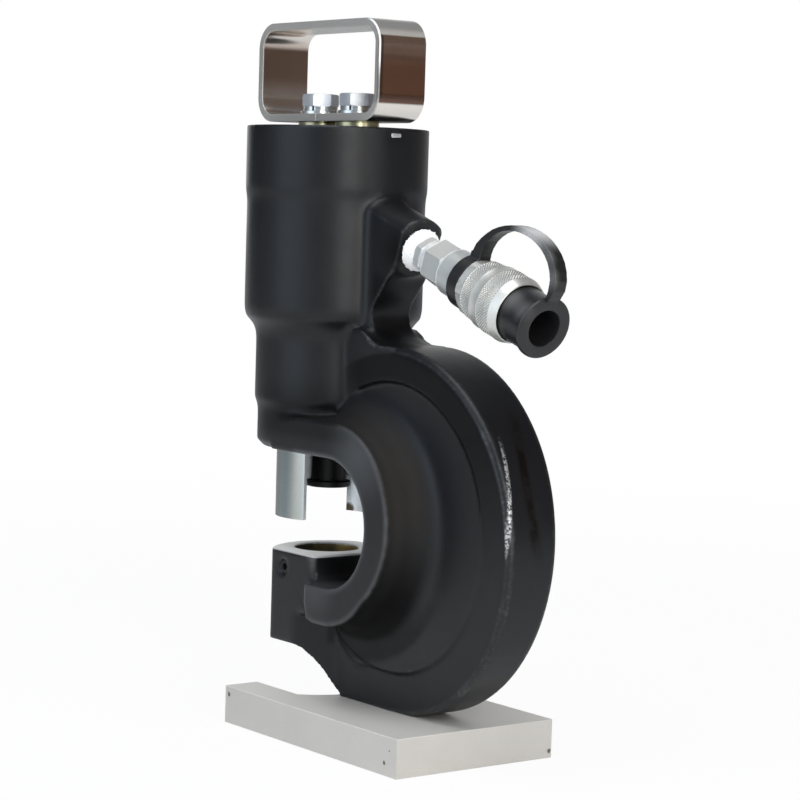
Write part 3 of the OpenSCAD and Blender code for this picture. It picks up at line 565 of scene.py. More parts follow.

# %% [markdown]
# The handle's chrome mirrors a room that one photo doesn't show. So its reflections are
# painted on by place: a brown reflection on the upright ends, silver and grey on the
# top bend, a grey rim, a painted shadow line, and a white shine on the outer bends.

# %% Chromed handle


def handle_chrome():
    """Chrome with painted reflections of the photo's room, and fine polishing lines."""
    finish = Finish("handle_chrome", metallic=1.0)
    side, across, height = finish.on_drawing()
    outward = -across
    cloud = finish.noise(28, 4, 0.6)
    lines = finish.noise(900, 3, 0.6, finish.moved((0.25, 1.0, 0.25)))
    bands = finish.noise(150, 3, 0.6, finish.moved((0.02, 0.02, 1.0)))
    # Painted reflections: brown on the upright ends, silver and grey on the top bend, a grey rim, a painted
    # shadow line and a white shine.
    front = side.step(54.5, 57.2) * height.between(369, 370.4, 407.8, 409.2)
    rear = (-side).step(52, 54.5) * height.between(373, 388, 402, 413)
    brown_mirrored_zone = (front + rear * 0.85).clamped()
    brown_mirrored_tone = finish.covered(
        finish.mix(height.step(388, 412), (0.372, 0.177, 0.107), (0.70, 0.56, 0.47)),
        (rear, (0.30, 0.175, 0.11)),
        (bands.step(0.5, 0.62) * 0.3, (0.21, 0.11, 0.07)),
        ((1 - height.step(372.5, 376.5)) * 0.9, (0.10, 0.048, 0.03)),
    )
    rim = outward.step(15.8, 16.4)
    silver = side.step(44, 50) * height.step(407.8, 409.2) * (1 - rim)
    grey = finish.mix(height.step(409.7, 413.5), (0.47, 0.46, 0.435), (0.23, 0.23, 0.22))
    upright = height.between(371, 373, 407.8, 409.2)
    shadow = outward.step(13.6, 14.4) * side.step(60, 60.6) * upright
    past_side = (side - 47.0).most(0.0)
    past_end = ((height - 389.0).size() - 14.5).most(0.0)
    outer_bend = ((past_side**2 + past_end**2) ** 0.5).step(13.8, 14.2)
    shine = outward.step(15.6, 16) * outer_bend * side.step(46, 54)
    shine = shine * (height.step(382, 396) * 0.85 + 0.15)
    base = finish.covered(
        finish.mix(cloud * 0.5, (0.84, 0.80, 0.75), (0.96, 0.92, 0.87)),
        (brown_mirrored_zone * 0.95, brown_mirrored_tone),
        (rim * 0.85, (0.44, 0.43, 0.41)),
        (silver * 0.9, grey),
        (shadow * 0.6, (0.09, 0.075, 0.06)),
        (shine * 0.95, (0.93, 0.93, 0.93)),
    )
    finish.shows(
        base_color=base,
        roughness=0.15 + lines * 0.04 + cloud * 0.04 + brown_mirrored_zone * 0.05,
        metallic=1 - (rim * 0.5).most(silver * 0.6).most(shine * 0.95),
    )
    finish.bumped(lines * 0.02 + finish.noise(30, 2), 0.0004, 0.12)
    return finish.material


chrome = handle_chrome()
print("chrome", len(chrome.node_tree.nodes), "nodes")

# %% [markdown]
# Most other metal is plated or cut steel. Zinc is cloudy and soft, turned faces carry
# rings, and the coupler has two painted highlight bands round it. The collar's grooves get
# painted shade, from a number stored with its knurl, and the handle bolts get a painted glint each.

# %% Zinc and bright steel


def metal(name, dark, pale, roughness, scale=300.0, stretch=(1, 1, 1), bump=0.0002, **extras):
    """Cloudy colour and tool marks, with painted shade in pits, and painted highlight bands and glints
    where given.
    """
    finish = Finish(name, metallic=extras.get("metallic", 1.0))
    cloud = finish.noise(55, 4, 0.6)
    marks = finish.noise(scale, 4.0, 0.65, finish.moved(stretch))
    stain = finish.noise(130, 5, 0.7).step(0.62, 0.75) * 0.3
    base = finish.mix(cloud, dark, pale)
    base = finish.mix(stain, base, tuple(part * 0.45 for part in dark))
    # Painted shade in the knurl's pits.
    if "pits" in extras:
        base = finish.mix(finish.painted("pit") * extras["pits"], base, (0.30, 0.30, 0.28))
    # Painted highlight bands round the coupler.
    for start, end in extras.get("bands", ()):
        share = finish.station().between(start, start + 0.4, end - 0.4, end)
        base = finish.mix(share * 0.85, base, (0.95, 0.96, 0.95))
    # A painted glint on each bolt head.
    for glint in extras.get("glints", ()):
        base = finish.mix(finish.near(*glint) * 0.85, base, (0.78, 0.80, 0.80))
    finish.shows(base_color=base, roughness=roughness + marks * 0.12 + stain * 0.2)
    finish.bumped(marks * 0.6 + cloud * 0.4, bump, 0.35)
    return finish.material


zinc = metal("bright_zinc", (0.62, 0.65, 0.64), (0.80, 0.82, 0.80), 0.2, 500.0)
fine = {"scale": 400.0, "bump": 0.0001}
# Stations of the painted highlight bands, and points of the painted glints on the bolts.
bands = ((21.4, 28.9), (42.9, 45.6))
glints = ((-74.6, -8.1, 373.5, 9.0), (-36.6, -8.1, 373.5, 9.0))
satin_zinc = metal(
    "satin_zinc", (0.50, 0.52, 0.515), (0.58, 0.60, 0.59), 0.28, metallic=0.5, bands=bands, **fine
)
collar_zinc = metal(
    "collar_zinc", (0.68, 0.68, 0.645), (0.76, 0.76, 0.72), 0.33, metallic=0.7, pits=0.5, **fine
)
bolt_zinc = metal(
    "bolt_zinc", (0.42, 0.45, 0.50), (0.50, 0.53, 0.58), 0.32, metallic=0.5, glints=glints, **fine
)
yellow_zinc = metal("yellow_zinc", (0.50, 0.47, 0.30), (0.72, 0.68, 0.44), 0.24)
turned_steel = metal("turned_steel", (0.50, 0.51, 0.52), (0.64, 0.65, 0.66), 0.22, 240.0, (1, 1, 22))
hard_chrome = metal("hard_chrome", (0.62, 0.63, 0.64), (0.72, 0.73, 0.74), 0.08, 420.0, (1, 1, 14))
spring_steel = metal("spring_steel", (0.16, 0.165, 0.18), (0.27, 0.275, 0.29), 0.3)
bronze = metal("bronze", (0.48, 0.31, 0.12), (0.63, 0.43, 0.19), 0.26, 260.0, (1, 1, 16))
print("metals ready")

# %% [markdown]
# The stripper is a turned steel sleeve with a satin skin. Its tones go from right to
# left as it mirrors the room in the photo, and one foot has a small spot of rust.
# Black oxide is a thin dark skin on steel, slightly oily, so it stays metallic.

# %% Stripper steel and black oxide


def stripper_steel():
    """Turned steel with painted reflections in four tones from right to left, with a rusty foot."""
    finish = Finish("stripper_steel", metallic=1.0)
    along, across, _ = finish.on_drawing()
    left = leftward(along, across)
    cloud = finish.noise(45, 4, 0.6)
    lines = finish.noise(210, 4, 0.6, finish.moved((0.4, 0.4, 14.0)))
    rust = finish.spot(-76.5, 24.5, 125.6, 4.6).most(finish.spot(-79.5, 23.0, 124.8, 3.0))
    base = finish.covered(
        finish.mix(cloud, (0.52, 0.54, 0.55), (0.66, 0.68, 0.68)),
        (left.step(12, 16) * 0.92, (0.44, 0.45, 0.41)),
        (left.step(19.5, 25) * 0.92, (0.270, 0.320, 0.335)),
        (left.step(27.5, 31.2) * 0.92, (0.17, 0.17, 0.145)),
        (rust * 0.9, (0.16, 0.10, 0.03)),
    )
    rough = (0.19 + lines * 0.10 + rust * 0.4).clamped()
    finish.shows(base_color=base, roughness=rough, metallic=1 - rust * 0.7)
    finish.bumped(lines, 0.00012, 0.4)
    return finish.material


def black_oxide_steel():
    finish = Finish("black_oxide_steel", metallic=0.55)
    cloud = finish.noise(60, 4, 0.6)
    marks = finish.noise(280, 3, 0.6, finish.moved((0.6, 0.6, 10.0)))
    base = finish.mix(cloud, (0.010, 0.010, 0.010), (0.028, 0.028, 0.027))
    finish.shows(base_color=base, roughness=0.34 + marks * 0.16)
    finish.bumped(marks, 0.00012, 0.4)
    return finish.material


stripper_finish = stripper_steel()
black_oxide = black_oxide_steel()
print("stripper and oxide ready")

# %% [markdown]
# Moulded rubber is matte, almost black, with a fine pebble and paler dust in its
# hollows, and a few painted highlights on the strap and plug. The sealing tape is white,
# fluffy plastic film. The seals inside are cast polyurethane, and the guide ring is filled plastic.

# %% Rubber, tape and seals


def soft_plastic(name, dark, pale, roughness, scale, bump, sheen_spots=()):
    """The optional spots are painted highlights, each with its point, radius and strength."""
    finish = Finish(name, metallic=0.0)
    cloud = finish.noise(40, 4, 0.6)
    pebble = finish.noise(scale, 4, 0.65)
    base = finish.mix((cloud * 0.7 + pebble * 0.3).clamped(), dark, pale)
    for *ball, strength in sheen_spots:
        base = finish.mix(finish.near(*ball) * strength, base, (0.62, 0.62, 0.63))
    finish.shows(base_color=base, roughness=roughness + pebble * 0.14)
    finish.bumped(pebble + cloud * 0.5, bump, 0.5)
    return finish.material


# Painted highlights on the strap and the plug.
rubber_sheen_spots = (
    (123.2, 0.0, 300.5, 20.0, 0.85),
    (119.6, -12.0, 263.3, 10.0, 0.16),
    (130.0, -14.0, 259.0, 9.0, 0.12),
    (142.0, -10.0, 276.0, 11.0, 0.36),
    (139.5, -10.0, 288.0, 11.0, 0.36),
)
rubber = soft_plastic(
    "moulded_rubber", (0.006, 0.006, 0.007), (0.015, 0.015, 0.016), 0.27, 800.0, 0.00012, rubber_sheen_spots
)
tape_film = soft_plastic("tape_film", (0.90, 0.90, 0.90), (0.96, 0.96, 0.96), 0.5, 1400.0, 0.0002)
cast_seal = soft_plastic("cast_seal", (0.35, 0.12, 0.04), (0.50, 0.20, 0.08), 0.35, 300.0, 0.0001)
filled_plastic = soft_plastic("filled_plastic", (0.16, 0.12, 0.08), (0.27, 0.21, 0.14), 0.45, 420.0, 0.0002)
print("soft finishes ready")

# %% [markdown]
# The frame is one steel casting. Its sharp solid is remeshed into an even skin, then
# the hollows are relaxed far more than the outward edges, so the inside corners get
# the broad fillets of a casting while the machined rims stay crisp.

# %% Remesh the casting
CASTING_VOXEL = 1.3 * MM
casting = welded_copy("frame", "casting")
casting.data.remesh_voxel_size = CASTING_VOXEL
pick(casting)
bpy.ops.object.voxel_remesh()
print("remeshed", len(casting.data.polygons))

# %% [markdown]
# Where the neighbours of a point lie outside its tangent plane, the skin is hollow
# there. That number, spread over a few rings of neighbours, is the weight of the
# relaxing. The same number with its sign turned marks the edges that wear bright.

# %% Measure hollows and edges


def edge_pairs(piece):
    pairs = np.empty(len(piece.data.edges) * 2, dtype=int)
    piece.data.edges.foreach_get("vertices", pairs)
    return pairs.reshape(-1, 2)


def neighbour_mean(values, pairs):
    """The average of a number over the neighbours of each point."""
    count = np.bincount(pairs.ravel(), minlength=len(values)).clip(1)
    total = np.bincount(pairs[:, 0], values[pairs[:, 1]], len(values))
    total += np.bincount(pairs[:, 1], values[pairs[:, 0]], len(values))
    return total / count


def spread(values, pairs, rounds):
    """Averages a number per point with its neighbours, some rounds over."""
    for _ in range(rounds):
        values = 0.5 * values + 0.5 * neighbour_mean(values, pairs)
    return values


def hollowness(piece, pairs):
    """Above zero in hollows and below zero on outward edges, in millimetres."""
    points = points_of(piece)
    middle = np.stack([neighbour_mean(column, pairs) for column in points.T], axis=1)
    return ((middle - points) * per_point(piece, "normal")).sum(axis=1) / MM


pairs = edge_pairs(casting)
bend = spread(hollowness(casting, pairs), pairs, 2)
print("bend", bend.min(), bend.max())

# %% [markdown]
# The bores, the die face and the throat's flat faces were machined, so they are kept
# out of the relaxing. The cove and three corners beside the jaw are broadly rounded in
# the photo, so they get more of it. Everything else follows its weight.

# %% Relax the hollows


def rise(values, low, high):
    """Goes from 0 at low to 1 at high, for many points at once."""
    return np.clip((values - low) / (high - low), 0, 1)


def ball(x, y, z, radius):
    """Fades from 1 round a point beside the ram's axis to 0 at a radius, on both sides."""
    gap = np.hypot(np.hypot(along - x, up - z), np.abs(across) - y)
    return 1 - rise(gap, 0.375 * radius, radius)


def weigh(piece, name, values):
    """Stores a weight per point as a vertex group, in steps of a tenth."""
    group = piece.vertex_groups.new(name=name)
    for level in range(1, 11):
        chosen = np.where(np.round(values * 10) == level)[0]
        group.add(chosen.tolist(), level / 10, "REPLACE")


along, across, up = on_drawing(casting)
deep = np.abs(across)
from_ram = np.hypot(along, across)
in_bore = (from_ram < 38.5) & (up > 165)
in_seat = (from_ram < 21) & (up < 110)
on_groove = np.abs(from_centre(along, up, DISC) - 83.2) < 4
on_groove &= (deep > 12) & (along > 55)
from_cove = from_centre(along, up, COVE)
in_cove = rise(deep, 17.4, 18.9) * (1 - rise(deep, 39.2, 41.6))
in_cove *= (from_cove < 80) & (from_cove > 44) & (along > 44)
weights = np.clip(spread(np.clip(bend, 0, None), pairs, 5) * 26.0, 0, 1)
weights = np.maximum(weights, in_cove)
for corner in ((39.5, 43.5, 72.5, 8.0), (30.0, 32.5, 72.0, 15.0), (32.0, 33.0, 92.0, 8.0)):
    weights = np.maximum(weights, 0.9 * ball(*corner))
weights[in_bore | in_seat | on_groove] = 0.0
calm = 1 - np.clip(spread(np.abs(bend), pairs, 3) * 14.0, 0, 1)
weigh(casting, "hollows", weights)
weigh(casting, "calm", calm)
apply_modifier(casting, "SMOOTH", factor=0.5, iterations=46, vertex_group="hollows")
apply_modifier(casting, "SMOOTH", factor=0.5, iterations=24, vertex_group="calm")
apply_modifier(casting, "SMOOTH", factor=0.5, iterations=7)
print("hollow points", int((weights > 0.05).sum()))

# %% [markdown]
# The finished skin gets the five stored numbers for its paint: how much an edge is
# worn bright, how much painted highlight the lip's edges get, which faces are bare
# machined metal, which of those lie inside the die seat, and how much painted shade the cove gets.

# %% Store wear, painted highlight, machined faces and painted shade


def store(piece, name, values):
    layer = piece.data.attributes.new(name, "FLOAT", "POINT")
    layer.data.foreach_set("value", np.asarray(values, dtype=float))


pairs = edge_pairs(casting)
bend = spread(hollowness(casting, pairs), pairs, 2)
along, across, up = on_drawing(casting)
deep = np.abs(across)
rim = rise(from_centre(along, up, WEB), 99, 102) * (along > 60)
store(casting, "wear", np.clip(-bend * 9.0 - 0.25, 0, 1) * (0.22 + 0.78 * rim))
# The lip's edges get a painted highlight, stored here.
on_lip = rise(deep, 29, 31) * (up < 186) * (up > 60) * (along > 26)
store(casting, "edge_highlight", spread(np.clip(-bend * 11.0 - 0.2, 0, 1) * on_lip, pairs, 2))
on_jaw = (up > 104.6) & (up < 107) & (along < 34)
in_seat = (np.hypot(along, across) < 20.2) & (up < 106) & (up > 49)
store(casting, "machined", on_jaw | in_seat)
store(casting, "seat", in_seat & (up < 104.9))
facing = per_point(casting, "normal")
# The cove's steep walls and its low part get painted shade, stored here.
away_x = along - COVE[0]
away_z = up - COVE[1]
reach = np.hypot(away_x, away_z).clip(1)
steep = (facing[:, 0] * away_x + facing[:, 2] * away_z) / reach
in_cove = (reach > 40) & (reach < 82) & (deep > 16.5) & (deep < 43) & (along > 30)
cove_shade = rise(steep, 0.4, 0.7) + 0.5 * (1 - rise(up, 70, 95))
store(casting, "cove_shade", spread(np.clip(cove_shade, 0, 1) * in_cove, pairs, 3))
smooth_by_angle(casting, 70)

# %% [markdown]
# One skin this fine is a large mesh, so it is split into two parts that meet in a
# flat cut round the barrel, where both sides carry the same normals.

# %% Part the casting at the barrel
CUT_Z = 0.232
edit_all(casting)
bpy.ops.mesh.bisect(plane_co=(0, 0, CUT_Z), plane_no=(0, 0, 1))
bpy.ops.mesh.select_all(action="DESELECT")
leave_edit()
middles = np.empty(len(casting.data.polygons) * 3)
casting.data.polygons.foreach_get("center", middles)
casting.data.polygons.foreach_set("select", middles.reshape(-1, 3)[:, 2] > CUT_Z)
pick(casting)
bpy.ops.object.mode_set(mode="EDIT")
bpy.ops.mesh.select_mode(type="FACE")
bpy.ops.mesh.separate(type="SELECTED")
leave_edit()
barrel = [piece for piece in bpy.context.selected_objects if piece is not casting][0]
barrel.name = "barrel_casting"
place(casting, enamel, "frame", "black_paint", "frame")
place(barrel, enamel, "frame", "black_paint", "frame")

# %% [markdown]
# The base plate keeps its square sawn shape. Only a fine edge break is added.

# %% Base plate and its screws
dress("base_plate", "ground_slab", 0.5, ground_plate, "plate_steel")
dress("base_screws", "foot_screws", 0.3, black_oxide, "black_oxide")

# %% [markdown]
# The handle is a strip of steel bent into a flat ring, with a butt seam underneath. Its
# long edges are rounded before plating, so they carry a bright line all the way
# round. Two hexagon bolts with flat and spring washers hold it on short spacers.

# %% Handle and its bolts
dress("handle", "strap_handle", 0.8, chrome, "chrome", segments=3)
dress("handle_bolts", "hex_bolts", 0.35, bolt_zinc, "zinc", smooth=22)
dress("flat_washers", "plain_washers", 0.25, zinc, "zinc")
dress("spring_washers", "split_washers", 0.2, zinc, "zinc")
dress("handle_spacers", "foot_spacers", 0.3, yellow_zinc, "yellow_zinc")

# %% [markdown]
# The screwed end cap closes the barrel, flush with its top. A small plated key in a
# slot through the collar stops it from turning. Its ends are rounded, and it stands a
# little taller than its solid.

# %% End cap and lock key
KEY_STRETCH = 1.22
dress("end_cap", "screwed_cap", 0.4, cap_enamel, "cap_black")
key = eased_copy("cap_lock_key", "lock_key", 1.1, 4)
key_points = points_of(key)
middle_z = (key_points[:, 2].max() + key_points[:, 2].min()) / 2
key_points[:, 2] = middle_z + (key_points[:, 2] - middle_z) * KEY_STRETCH
set_points(key, key_points)
place(key, satin_zinc, "frame", "zinc", "cap_lock_key")

# %% [markdown]
# Under the head hangs the stripper sleeve with two legs, and inside it the nut that
# clamps the punch to the ram.

# %% Stripper, punch nut and die screw
dress("stripper", "stripper_sleeve", 0.35, stripper_finish, "bright_steel")
dress("punch_nut", "clamp_nut", 0.4, black_oxide, "black_oxide", "ram")
dress("die_lock_screw", "die_screw", 0.2, black_oxide, "black_oxide", "die_lock")

# %% [markdown]
# The oil coupler leans down from the boss. Its round pieces are drawn standing at the
# origin, with their stations along Z, and then laid on the coupler's axis in one move.

# %% Round pieces on the coupler's axis


def lay_on_axis(piece, station):
    """Lays a piece drawn about Z on the coupler's axis, at a station from the port."""
    turn = Matrix.Rotation(math.pi / 2 + TILT, 4, "Y")
    piece.matrix_world = Matrix.Translation(PORT) @ turn @ Matrix.Translation((0, 0, station * MM))
    pick(piece)
    bpy.ops.object.transform_apply(location=True, rotation=True, scale=True)


def turned(name, profile, steps):
    """Draws a profile from one vertex by extruding it, then spins it about Z."""
    bpy.ops.object.select_all(action="DESELECT")
    bpy.ops.mesh.primitive_plane_add(size=MM)
    piece = bpy.context.object
    piece.name = name
    edit_all(piece)
    bpy.ops.mesh.merge(type="CENTER")
    bpy.ops.transform.translate(value=(profile[0][0] * MM, 0, profile[0][1] * MM))
    for start, end in zip(profile, profile[1:]):
        step = ((end[0] - start[0]) * MM, 0, (end[1] - start[1]) * MM)
        bpy.ops.mesh.extrude_region_move(TRANSFORM_OT_translate={"value": step})
    bpy.ops.mesh.select_all(action="SELECT")
    bpy.ops.mesh.remove_doubles(threshold=0.0000005)
    bpy.ops.mesh.select_all(action="SELECT")
    bpy.ops.mesh.spin(steps=steps, angle=2 * math.pi, center=(0, 0, 0), axis=(0, 0, 1))
    bpy.ops.mesh.select_all(action="SELECT")
    bpy.ops.mesh.remove_doubles(threshold=0.000005)
    bpy.ops.mesh.normals_make_consistent(inside=False)
    leave_edit()
    return piece


def band(start, end, rings):
    """Extra points between two profile points, for a band that is shaped further."""
    (r0, z0), (r1, z1) = start, end
    return [(r0 + (r1 - r0) * i / rings, z0 + (z1 - z0) * i / rings) for i in range(rings + 1)]


def about_z(points):
    """Radius, angle and station of points drawn about Z, lengths in millimetres."""
    x, y, z = points.T / MM
    return np.hypot(x, y), np.arctan2(y, x), z


print("axis ready")

# %% [markdown]
# The collar is gripped by hand to screw it onto the hose, so two bands of it are
# knurled. A knurl is two sets of slanted grooves that cross and leave small diamonds.
# The bands get many narrow rings, and each point is pushed in by the nearer groove.
# The end towards the port is pressed to a hexagon afterwards.

# %% Knurled collar
HEX_END = 5.4
HEX_HALF = 15.6
TEETH = 66
KNURL_LEAD = 1.75
KNURL_DEPTH = 0.66
outside = [(15.9, 0), (16.9, 0.9), (17.1, HEX_END), (17.1, HEX_END + 0.7), (17.4, HEX_END + 1.1)]
outside += band((17.5, HEX_END + 1.3), (18.55, 16.4), 34)
outside += [(18.8, 16.6), (18.95, 16.9), (18.9, 17.6), (18.85, 18.6), (18.9, 22.4), (19.2, 23.3)]
outside += band((19.3, 23.6), (19.3, 34.4), 36)
outside += [(19.1, 34.8), (18.7, 35.4), (18.2, 37.6), (17.4, 39.4), (16.9, 39.7)]
inside = [(16.5, 39.5), (16.3, 39), (16.3, 13.1), (14.1, 13.1), (14.1, 0.4), (14.5, 0), (15.9, 0)]
collar = turned("knurled_collar", outside + inside, 264)
gripped = points_of(collar)
radius, angle, station = about_z(gripped)
around = angle / (2 * math.pi) * TEETH
slant = station / KNURL_LEAD
one_way = np.abs((around + slant) % 1.0 - 0.5) * 2
other_way = np.abs((around - slant) % 1.0 - 0.5) * 2
groove = np.maximum(one_way, other_way) ** 1.4
pit = np.zeros(len(gripped))
for low, high in ((HEX_END + 1.2, 16.5), (23.5, 34.5)):
    fade = rise(station, low, low + 0.5) * (1 - rise(station, high - 0.5, high))
    pit = np.maximum(pit, groove * fade * (radius > 17.0))
gripped[:, :2] *= (1 - KNURL_DEPTH * pit / radius.clip(1))[:, None]
radius, angle, station = about_z(gripped)
nearest_flat = np.round(angle / (math.pi / 3)) * math.pi / 3
reach = HEX_HALF / np.cos(angle - nearest_flat)
hexed = (station < HEX_END + 0.3) & (radius > 15) & (radius > reach)
gripped[hexed, :2] *= (reach / radius)[hexed][:, None]
set_points(collar, gripped)
# The pits are stored for the painted shade in the knurl's grooves.
store(collar, "pit", pit)
lay_on_axis(collar, 66.6)
smooth_by_angle(collar, 30)
place(collar, collar_zinc, "collar", "zinc", "coupler_collar")

# %% [markdown]
# The nipple and the coupler's body are turned from hexagon bar, so their corners are
# cut by a cone. The nose hides inside the collar behind the plug.

# %% Nipple, body and nose
dress("hex_nipple", "port_nipple", 0.3, satin_zinc, "zinc", smooth=18)
dress("coupler_body", "hex_coupler_body", 0.3, satin_zinc, "zinc", smooth=18)
dress("coupler_nose", "coupler_tip", 0.25, satin_zinc, "zinc")

# %% [markdown]
# The sealing tape was wound on by hand and has squeezed out of the port in a ragged
# white collar. It is turned with many rings, then crumpled by a few sine waves of
# different lengths, so it looks torn and yet comes out the same on every run.

# %% Sealing tape
tape_profile = [(8.1, 0.1)] + band((11.4, 0.1), (12.5, 1.6), 8) + band((12.5, 1.9), (11.6, 4.6), 12)
tape_profile += band((11.5, 4.9), (10.4, 7.4), 10) + band((10.2, 7.6), (9.5, 8.3), 4)
tape_profile += [(8.1, 8.35), (8.1, 0.1)]
tape = turned("wound_tape", tape_profile, 220)
crumpled = points_of(tape)
radius, angle, height = about_z(crumpled)
outer = rise(radius, 8.6, 10.1)
ends = rise(height, 5.6, 7.6) * outer
waves = 0.20 * np.sin(7 * angle + height * 1.9) + 0.12 * np.sin(17 * angle - height * 3.1)
waves += 0.06 * np.sin(41 * angle + height * 5.3) + 0.05 * np.sin(73 * angle + height * 2.2)
torn = np.sin(9 * angle + 0.7) * np.sin(31 * angle + 1.1)
waves += np.clip(torn, 0, 1) ** 3 * (1 - rise(height, 0.8, 3.2))
crumpled[:, :2] *= (1 + waves * outer / radius)[:, None]
crumpled[:, 2] += ends * (0.22 * np.sin(5 * angle + 1) + 0.16 * np.sin(23 * angle) - 0.2) * MM
set_points(tape, crumpled)
lay_on_axis(tape, 8.0)
smooth_by_angle(tape, 50)
place(tape, tape_film, "frame", "tape", "thread_tape")

# %% [markdown]
# The dust cover is moulded in rubber: a ring on the neck, a flat strap and a flanged
# plug. Strap and ring are grown together by a fine remesh and their hollows relaxed.
# The strap bends when the plug is pulled, but here it is joined to neither body.

# %% Dust ring, strap and plug
COVER_VOXEL = 0.4 * MM
cover = welded_copy("dust_strap", "rubber_cover")
strap_points = points_of(cover)
away = strap_points - np.array(PORT)
station = away @ np.array(ALONG) / MM
height = away @ np.array(ACROSS) / MM
foot = (1 - rise(height, 18.5, 24.5)) * (station > 120)
root = (height < 20.0) & (station < 70)
strap_points -= np.outer(foot * 3.6 + root * 1.6, np.array(ACROSS)) * MM
strap_points -= np.outer(foot * rise(station, 126.5, 131.5) * 3.4, np.array(ALONG)) * MM
set_points(cover, strap_points)
ring = welded_copy("dust_ring", "ring_part")
pick(cover)
ring.select_set(True)
bpy.ops.object.join()
cover.data.remesh_voxel_size = COVER_VOXEL
bpy.ops.object.voxel_remesh()
links = edge_pairs(cover)
hollow = spread(np.clip(spread(hollowness(cover, links), links, 2), 0, None), links, 6)
weigh(cover, "hollows", np.clip(hollow * 60.0, 0, 1))
apply_modifier(cover, "SMOOTH", factor=0.5, iterations=30, vertex_group="hollows")
apply_modifier(cover, "SMOOTH", factor=0.5, iterations=4)
smooth_by_angle(cover, 60)
place(cover, rubber, None, "rubber", "dust_ring", "dust_strap")
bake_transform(cover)
plug_profile = [(0, 0), (14.8, 0), (15.7, 0.4), (16, 1.2), (16, 28.2), (16.15, 28.8)]
plug_profile += [(16.6, 29.1), (17.1, 29.4), (17.45, 30), (17.5, 31), (17.4, 31.8), (16.9, 32.4)]
plug_profile += [(16.3, 32.5), (11.2, 32.5), (10.5, 32.3), (10.1, 31.6), (9.8, 18), (9.6, 5.2)]
plug_profile += [(9, 4.3), (8, 4), (0, 4)]
plug = turned("rubber_plug", plug_profile, 128)
lay_on_axis(plug, 95.0)
smooth_by_angle(plug, 35)
place(plug, rubber, "dust_plug", "rubber", "dust_plug")

# %% [markdown]
# The pieces inside never show from outside, but they are real solids and come into
# view when the tool is taken apart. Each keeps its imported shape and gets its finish.

# %% Finishes of the inner pieces
inner = {
    "piston": turned_steel,
    "ram": hard_chrome,
    "piston_seal": cast_seal,
    "backup_ring": tape_film,
    "guide_ring": filled_plastic,
    "rod_bush": bronze,
    "rod_wiper": rubber,
    "cap_seal": rubber,
    "nose_seal": rubber,
    "valve_poppet": turned_steel,
    "poppet_guide": turned_steel,
}
for name, material in inner.items():
    for holder in nodes[name].material_slots:
        holder.link = "OBJECT"
        holder.material = material
print("inner pieces", len(inner))

# %% [markdown]
# In the tool, the return spring under the piston is shortened by the ram's stroke, and
# the small one behind the valve poppet by its travel. Here each gets its finish, and its
# length along its axis is printed.

# %% Springs
springs = (
    ("return_spring", "coil_spring", "ram_stroke", UPWARD, 26.0),
    ("poppet_spring", "valve_spring", "poppet_push", ALONG, 4.0),
)
for node, name, joint, axis, travel in springs:
    spring = welded_copy(node, name)
    smooth_by_angle(spring, 60)
    place(spring, spring_steel, "frame", "spring_steel", node)
    run = points_of(spring) @ np.array(axis)
    low, high = run.min(), run.max()
    middle = Vector(points_of(spring).mean(axis=0))
    foot = middle + axis * (low - middle.dot(axis))
    1 - travel * MM / (high - low)
    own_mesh(spring)
    print(name, "length", round((high - low) / MM, 2))

# %% [markdown]
# The floor is a pale sheet. The camera sees it nearly white, while it still takes the
# soft shadow of the plate, and metal mirrors it as the same pale sheet.

# %% Floor
bpy.ops.object.select_all(action="DESELECT")
bpy.ops.mesh.primitive_plane_add(size=40.0, location=(0, 0, -0.0002))
floor = bpy.context.object
floor.name = "floor"
paper = Finish("pale_floor", base_color=(0.86, 0.86, 0.86), roughness=0.9)
seen = Amount(paper, paper.node("ShaderNodeLightPath").outputs["Is Camera Ray"])
far = paper.away_from(0, 0, 0).step(350, 1600)
glow = paper.node("ShaderNodeEmission", {}, {"Color": (1.0, 1.0, 1.0), "Strength": 1.0})
whitened = seen * (0.93 + far * 0.07)
surface = paper.choose(whitened, paper.shader.outputs["BSDF"], glow.outputs["Emission"])
paper.feed(paper.tree.nodes["Material Output"].inputs["Surface"], surface)
floor.data.materials.append(paper.material)

# %% [markdown]
# The room is a soft studio: white where the camera looks, and a plain cool grey for
# the light it gives. Polished things mirror another room, which turns from a cool grey
# to a dark warm brown towards the photo's right, with a pale wall behind the object
# and a dim corner left of it. That gives the black paint its quiet bands.

# %% World
world = bpy.data.worlds.new("studio")
bpy.context.scene.world = world
bpy.context.scene.view_settings.view_transform = "Standard"
world.use_nodes = True
world.node_tree.nodes.clear()
studio = Graph(world.node_tree)
rays = studio.node("ShaderNodeLightPath").outputs
direction = studio.node("ShaderNodeTexCoord").outputs["Generated"]


def towards(side, low, high):
    """Rises evenly from 0 at low to 1 at high, the more a direction points to a side."""
    values = {"Value": studio.vector("DOT_PRODUCT", direction, side), "From Min": low, "From Max": high}
    return studio.node("ShaderNodeMapRange", {}, values).outputs["Result"]


def backdrop(colour, strength):
    values = {"Color": colour, "Strength": strength}
    return studio.node("ShaderNodeBackground", {}, values).outputs["Background"]


room = studio.covered(
    (0.20, 0.225, 0.265),
    (towards((0.60, 0.80, 0.0), 0.0, 0.75), (0.11, 0.085, 0.072)),
    (towards((-0.985, 0.174, 0.0), 0.5, 0.9), (0.05, 0.055, 0.065)),
    (towards((-0.80, 0.60, 0.0), 0.72, 0.99), (0.95, 0.95, 0.95)),
)
given = studio.choose(rays["Is Glossy Ray"], backdrop((0.93, 0.96, 1.0), 0.42), backdrop(room, 1.0))
seen = studio.choose(rays["Is Camera Ray"], given, backdrop((1, 1, 1), 1.0))
studio.node("ShaderNodeOutputWorld", {}, {"Surface": seen})
print("studio", len(world.node_tree.nodes), "nodes")

# %% [markdown]
# The camera stands where the photo was taken from. Its place, its long lens and its
# slight roll were fitted to the straight edges of the plate and the upright barrel.

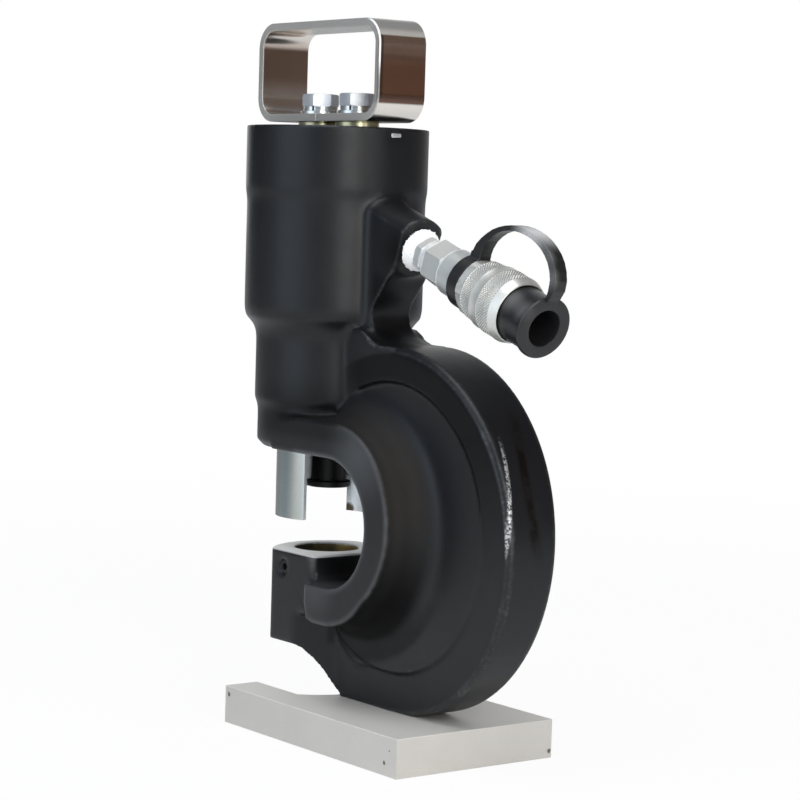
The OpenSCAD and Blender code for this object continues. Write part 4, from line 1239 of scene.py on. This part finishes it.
# %% Camera
AZIMUTH = math.radians(53.03)
PITCH = math.radians(4.629)
ROLL = math.radians(1.7259)
CAMERA_AT = (1.15742, -0.8670, 0.3165)
back = Vector((math.sin(AZIMUTH), -math.cos(AZIMUTH), 0))
right = Vector((math.cos(AZIMUTH), math.sin(AZIMUTH), 0))
ahead = -back * math.cos(PITCH) - UPWARD * math.sin(PITCH)
above = right.cross(ahead)
cam_right = right * math.cos(ROLL) + above * math.sin(ROLL)
cam_up = above * math.cos(ROLL) - right * math.sin(ROLL)
lens = bpy.data.cameras.new("photo_camera")
lens.sensor_fit = "HORIZONTAL"
lens.sensor_width = 36.0
lens.lens = 112.76
lens.clip_end = 100.0
camera = new_object("photo_camera", lens)
columns = Matrix((cam_right, cam_up, -ahead)).transposed().to_4x4()
camera.matrix_world = Matrix.Translation(CAMERA_AT) @ columns
bpy.context.scene.camera = camera

# %% [markdown]
# Four soft boxes light it: a wide cool one on the left, two narrow ones to the right of
# the camera, and a top light. Their places are given by the angle from the camera's
# side of the object, because that is how a photographer sets them.

# %% Soft boxes
AIM = Vector((0.0, 0.0, 0.2))


def soft_box(name, degrees, distance, height, width, tall, power, colour=(1, 1, 1)):
    """An area lamp at an angle right of the camera, aimed at the object."""
    lamp = bpy.data.lights.new(name, "AREA")
    lamp.shape = "RECTANGLE"
    lamp.size = width
    lamp.size_y = tall
    lamp.energy = power
    lamp.color = colour
    holder = new_object(name, lamp)
    turn = math.radians(degrees)
    holder.location = (back * math.cos(turn) + right * math.sin(turn)) * distance + UPWARD * height
    holder.rotation_euler = (AIM - holder.location).to_track_quat("-Z", "Y").to_euler()


soft_box("left_box", -58, 1.9, 0.7, 1.5, 1.8, 11.8, (0.78, 0.89, 1.0))
soft_box("front_box", 17, 2.1, 0.8, 0.7, 1.4, 18.0, (1.0, 0.99, 0.97))
soft_box("right_box", 46, 2.1, 0.8, 0.6, 1.4, 5.5, (1.0, 0.99, 0.97))
soft_box("top_box", -20, 0.5, 1.9, 1.4, 1.4, 17.0)
print("lamps ready")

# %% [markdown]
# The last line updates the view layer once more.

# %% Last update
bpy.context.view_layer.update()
